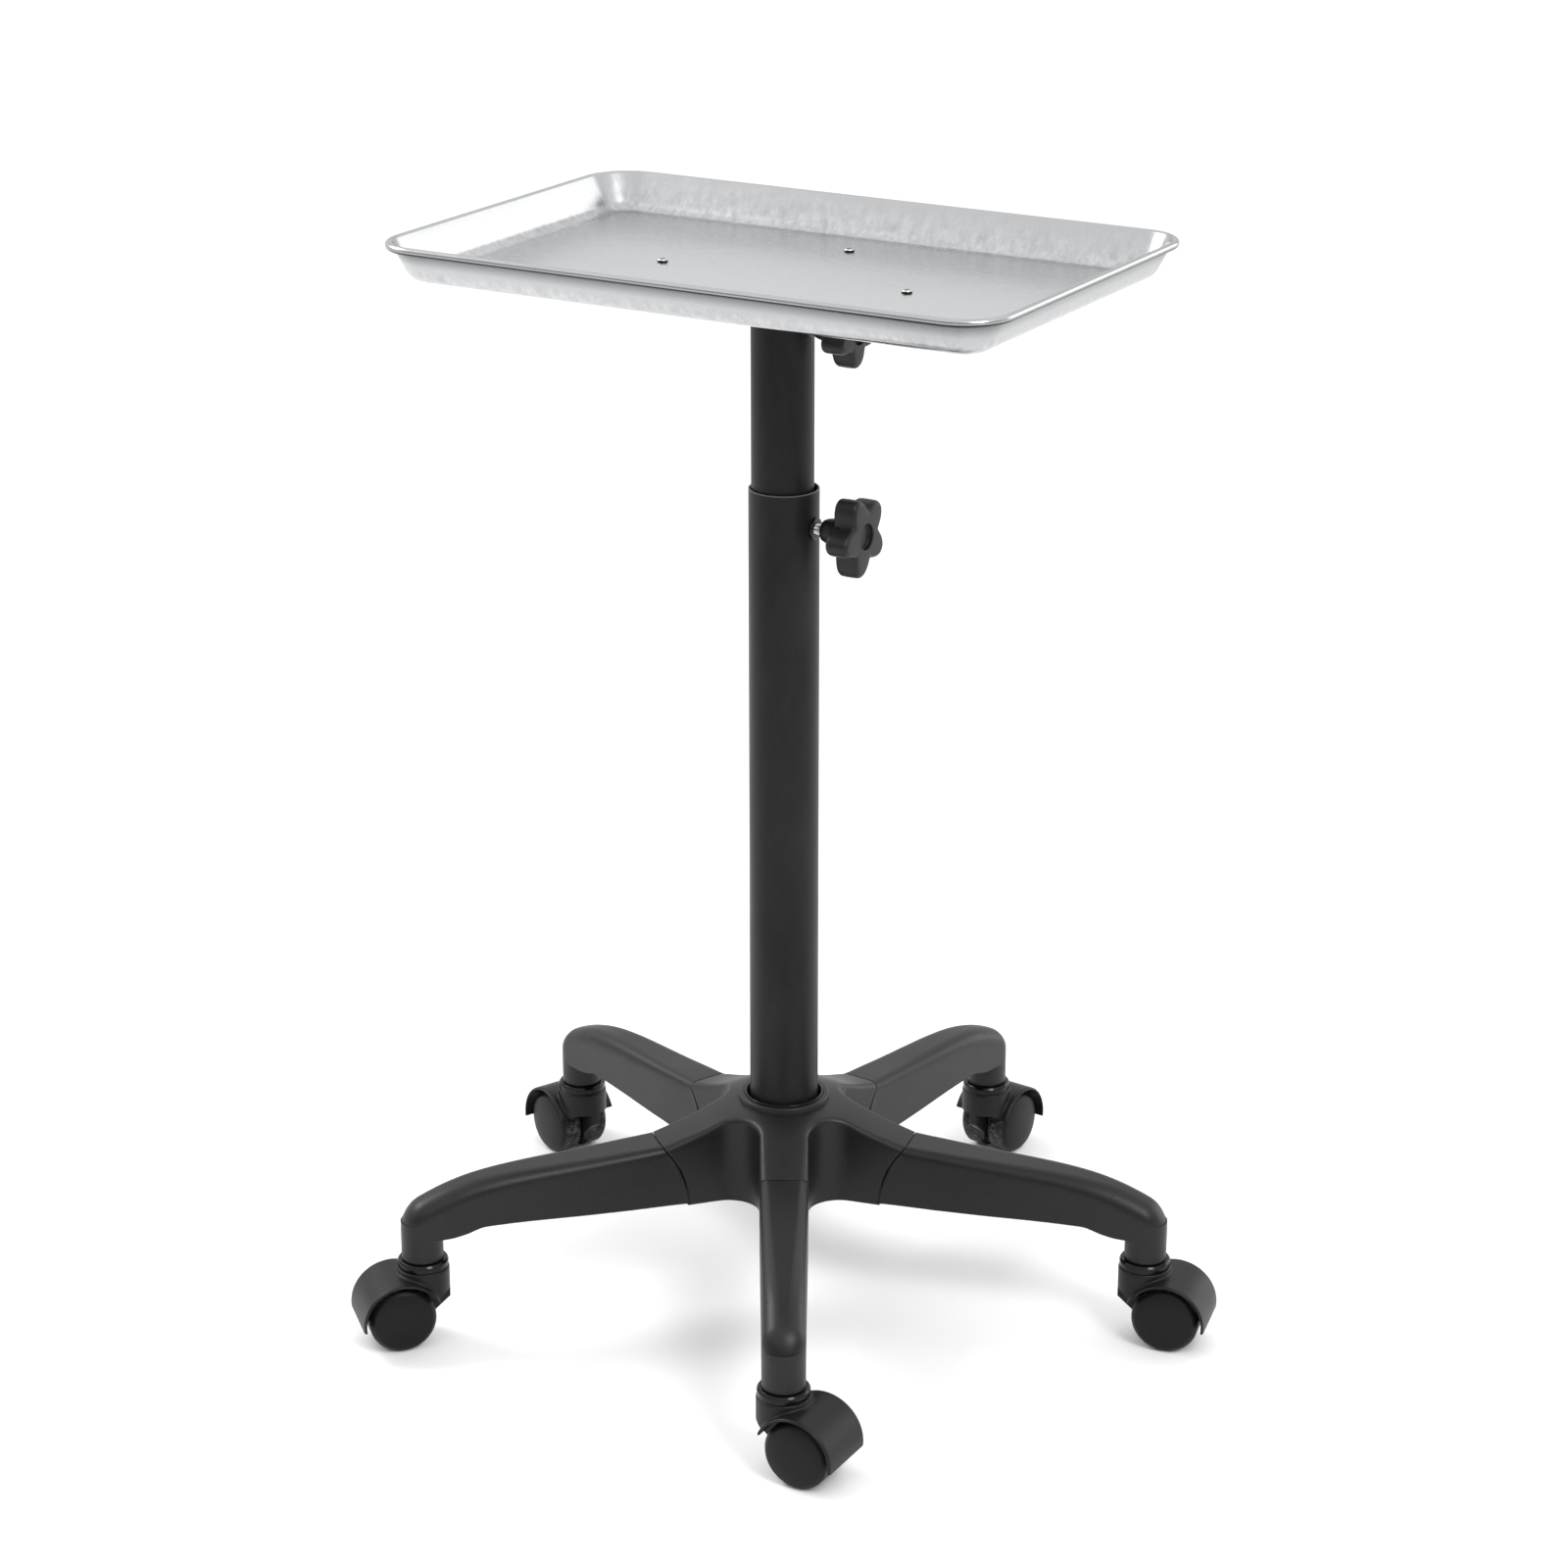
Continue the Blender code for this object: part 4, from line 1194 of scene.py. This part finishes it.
def hood_shape(castor, boss_top):
    """Hood over both wheels with the web between them and the boss round the stem.

    Its joints are softened by a remesh, and its open sides are cut after that, so they stay crisp.
    """
    axle = Vector((TRAIL, 0, AXLE_Z))
    wide, rim = castor.half_width, 2.2 * MM
    drum = lathe(eased([(0, wide), (castor.hood, wide, rim), (castor.hood, -wide, rim),
                        (0, -wide)]), 160)
    drum = across(drum, axle)
    post = lathe(eased([(0, boss_top), (HOOD_BOSS, boss_top, 0.8 * MM), (HOOD_BOSS, 18 * MM),
                        (0, 18 * MM)]))
    solid = combined("UNION", drum, post)
    wells = []
    cutters = []
    for side in (-1, 1):
        inner, outer = side * castor.web, side * (wide + 5 * MM)
        wells.append(across(cylinder(castor.bore, inner, outer, 160), axle))
        below = mm((-40, 42), (-14, 41), (8, 30), (50.5, 20), (70, 20), (70, -20), (-40, -20))
        wedge = plate(below, min(inner, outer), max(inner, outer))
        cutters.append(across(wedge, (0, 0, 0)))
    cutters.append(block(mm((-40, -40, -10))[0], mm((70, 40, 15))[0]))
    heel = plate(mm((28, 15), (38, 21.5), (70, 21.5), (70, -20), (28, -20)), -40 * MM, 40 * MM)
    cutters.append(across(heel, (0, 0, 0)))
    chin = plate(mm((-40, 50), (-20, 33), (-7, 22), (-7, 0), (-40, 0)), -40 * MM, 40 * MM)
    cutters.append(across(chin, (0, 0, 0)))
    solid = combined("DIFFERENCE", solid, *wells)
    obj = holder(solid)
    remesh = obj.modifiers.new("remesh", "REMESH")
    remesh.mode = "VOXEL"
    remesh.voxel_size = 0.7 * MM
    remesh.adaptivity = 0
    solid = settled(obj)
    for _ in range(6):
        bmesh.ops.smooth_vert(solid, verts=solid.verts, factor=0.5, use_axis_x=True,
                              use_axis_y=True, use_axis_z=True)
    cutters.append(cylinder(5.6 * MM, STEM_SEAT_Z, 70 * MM, 32))
    return combined("DIFFERENCE", solid, *cutters)


def wheel_shape():
    """Half of a twin wheel, its axis Z and its domed face up."""
    outer = eased(mm((0, 24), (15, 23.1, 40), (21.9, 21.3, 3), (23.3, 19.9, 1.2), (24.0, 19.2, 0.8),
                     (25, 17.6, 1.2), (25, 5.2, 0.9), (23.6, 4.3), (22, 4.3, 0.4), (21.4, 8, 0.6),
                     (9, 8, 0.6), (8.4, 4.3, 0.4), (3.1, 4.3), (3.1, 16.3), (0, 16.3)),
                  step=math.radians(9))
    return lathe(outer, 128)


class BuildCastors(bpy.types.Operator):
    """Build the twin-wheel castors"""
    bl_idname = "cart.build_castors"
    bl_label = "Castors"

    def execute(self, context):
        castor = context.scene.cart_castor
        nylon = finish("Castor nylon", moulded_nylon, castor.colour, 0.36, 0.24)
        wheel_finish = finish("Wheel nylon", wheel_nylon, castor.wheel_colour)
        gloss = finish("Gloss black", gloss_black)
        zinc = finish("Zinc plate", zinc_plate, BRIGHT_ZINC)
        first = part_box("castor_collar_1")
        hood = hood_shape(castor, first[0].z - GAP)
        wheel = wheel_shape()
        top, low, radius = first[1].z, first[0].z, (first[1].x - first[0].x) / 2
        collar = lathe(eased([(5.8 * MM, top), (radius - 1.2 * MM, top, 0.6 * MM),
                              (radius, top - 1.6 * MM, 0.6 * MM), (radius, low, 0.5 * MM),
                              (5.8 * MM, low)], closed=True), 96)
        for k in ARMS:
            pivot = Vector(JOINTS[f"castor_{k}_swivel"]["pos_m"])
            wheels = [Vector(JOINTS[f"wheel_{side}_{k}_roll"]["pos_m"]) for side in SIDES]
            away = (wheels[0] + wheels[1]) / 2 - pivot
            facing = math.atan2(away.y, away.x)
            place = Matrix.Translation((pivot.x, pivot.y, 0)) @ Matrix.Rotation(facing, 4, "Z")
            piece(f"castor_{k}_hood", hood.copy(), place, f"castor_{k}", nylon,
                  [f"castor_body_{k}"], math.radians(50))
            piece(f"castor_{k}_ring", collar.copy(), place, f"castor_{k}", gloss,
                  [f"castor_collar_{k}"])
            for side, sign in zip(SIDES, (1, -1)):
                spin = Matrix.Rotation(-sign * math.pi / 2, 4, "X")
                at = place @ Matrix.Translation((TRAIL, 0, AXLE_Z)) @ spin
                node = f"castor_wheel_{side}_{k}"
                made = piece(f"wheel_{side}_{k}_detail", wheel.copy(), at, f"wheel_{side}_{k}",
                             wheel_finish, [node])
                mark_tread(made, at)
            for node in (f"castor_stem_{k}", f"castor_axle_{k}"):
                repaint(node, zinc)
        return {"FINISHED"}


def mark_tread(obj, place):
    """Writes to each vertex of a wheel how much of the floor's wear it gets."""
    back = place.inverted()
    worn = obj.data.attributes.new("tread", "FLOAT", "POINT")
    for vert in obj.data.vertices:
        local = back @ vert.co
        reach = math.hypot(local.x, local.y)
        worn.data[vert.index].value = max(0, min(1, (reach - 24.2 * MM) / (0.7 * MM)))


# --- Stage ---

CAMERA_PLACE = POST + Vector((1.3119, -2.2678, 1.3671))
LIT_POINT = Vector((0, 0, 0.5))
# Each lamp's name, place, width and watts
LAMPS = [("key", (1.9, -1.0, 2.2), 0.9, 36), ("side", (-2.0, -0.3, 1.9), 0.9, 30)]
SKYLIGHT = 0.9  # Strength of the wide soft sun, which keeps the far floor as pale as the near
WINDOW = Vector((0.5, 0.85, 0.18)).normalized()  # Towards a bright panel behind the cart


class BuildStage(bpy.types.Operator):
    """Build the floor, the soft light and the camera"""
    bl_idname = "cart.build_stage"
    bl_label = "Stage"

    def execute(self, context):
        stage = context.scene.cart_stage
        scene = context.scene
        floor = bmesh.new()
        bmesh.ops.create_grid(floor, x_segments=8, y_segments=8, size=30)
        mesh = bpy.data.meshes.new("floor")
        floor.to_mesh(mesh)
        floor.free()
        mesh.materials.append(finish("Pale floor", pale_floor, stage.floor_colour))
        obj = bpy.data.objects.new("floor", mesh)
        scene.collection.objects.link(obj)

        world = scene.world or bpy.data.worlds.new("surroundings")
        scene.world = world
        world.use_nodes = True
        backdrop = world.node_tree.nodes["Background"]
        backdrop.inputs["Color"].default_value = (1, 1, 1, 1)
        glow = Recipe(world.node_tree)
        toward = glow.node("ShaderNodeTexCoord", output="Generated")
        height = glow.node("ShaderNodeSeparateXYZ", None, "Z", Vector=toward)
        level = CAMERA_PLACE - POST
        level.z = 0
        front = glow.between(glow.along(toward, level.normalized()), 0.1, 0.6)
        low = glow.between(height, 0.5, 0.38)
        panel = glow.between(glow.along(toward, WINDOW), 0.93, 0.985)
        glow.fill(backdrop.inputs["Strength"],
                  (1 - front * low * stage.dim) * stage.backdrop + panel * stage.window)
        sky = bpy.data.lights.new("sky", "SUN")
        sky.energy = SKYLIGHT
        sky.angle = math.radians(120)
        scene.collection.objects.link(bpy.data.objects.new("sky", sky))
        for name, place, width, power in LAMPS:
            lamp = bpy.data.lights.new(name, "AREA")
            lamp.energy = power * stage.lamps
            lamp.size = width
            stand = bpy.data.objects.new(name, lamp)
            stand.location = place
            facing = (LIT_POINT - Vector(place)).to_track_quat("-Z", "Y")
            stand.rotation_euler = facing.to_euler()
            stand.visible_camera = False
            scene.collection.objects.link(stand)

        camera = bpy.data.cameras.new("camera")
        camera.sensor_width = 36
        camera.lens = stage.lens
        view = bpy.data.objects.new("camera", camera)
        view.location = CAMERA_PLACE
        aim = Vector((POST.x, POST.y, 0.405))
        view.rotation_euler = (aim - CAMERA_PLACE).to_track_quat("-Z", "Y").to_euler()
        scene.collection.objects.link(view)
        scene.camera = view
        scene.view_settings.view_transform = "Standard"
        return {"FINISHED"}


# --- Add-on ---


class CartPanel(bpy.types.Panel):
    """Lists the cart's settings and its builders"""
    bl_idname = "VIEW3D_PT_cart"
    bl_label = "Instrument Cart"
    bl_space_type = "VIEW_3D"
    bl_region_type = "UI"
    bl_category = "Cart"

    def draw(self, context):
        for group in GROUPS:
            box = self.layout.box()
            settings = getattr(context.scene, group)
            for name in settings.__annotations__:
                box.prop(settings, name)
        for builder in BUILDERS:
            self.layout.operator(builder.bl_idname)


GROUPS = {"cart_tray": TraySettings, "cart_post": PostSettings, "cart_knob": KnobSettings,
          "cart_base": BaseSettings, "cart_castor": CastorSettings, "cart_stage": StageSettings}
BUILDERS = (BuildStage, BuildTray, BuildTrayScrews, BuildBracket, BuildPost, BuildClamps, BuildHub,
            BuildArms, BuildCastors)


def register():
    for group, settings in GROUPS.items():
        bpy.utils.register_class(settings)
        setattr(bpy.types.Scene, group, PointerProperty(type=settings))
    for builder in BUILDERS:
        bpy.utils.register_class(builder)
    bpy.utils.register_class(CartPanel)


def unregister():
    bpy.utils.unregister_class(CartPanel)
    for builder in reversed(BUILDERS):
        bpy.utils.unregister_class(builder)
    for group, settings in GROUPS.items():
        delattr(bpy.types.Scene, group)
        bpy.utils.unregister_class(settings)


def clear_defaults():
    """Removes the start-up cube, light and camera, which aren't the frame's."""
    for name in ("Cube", "Light", "Camera"):
        if name in bpy.data.objects:
            bpy.data.objects.remove(bpy.data.objects[name])


def main():
    clear_defaults()
    register()
    for builder in BUILDERS:
        group, name = builder.bl_idname.split(".")
        getattr(getattr(bpy.ops, group), name)()


if __name__ == "__main__":
    main()
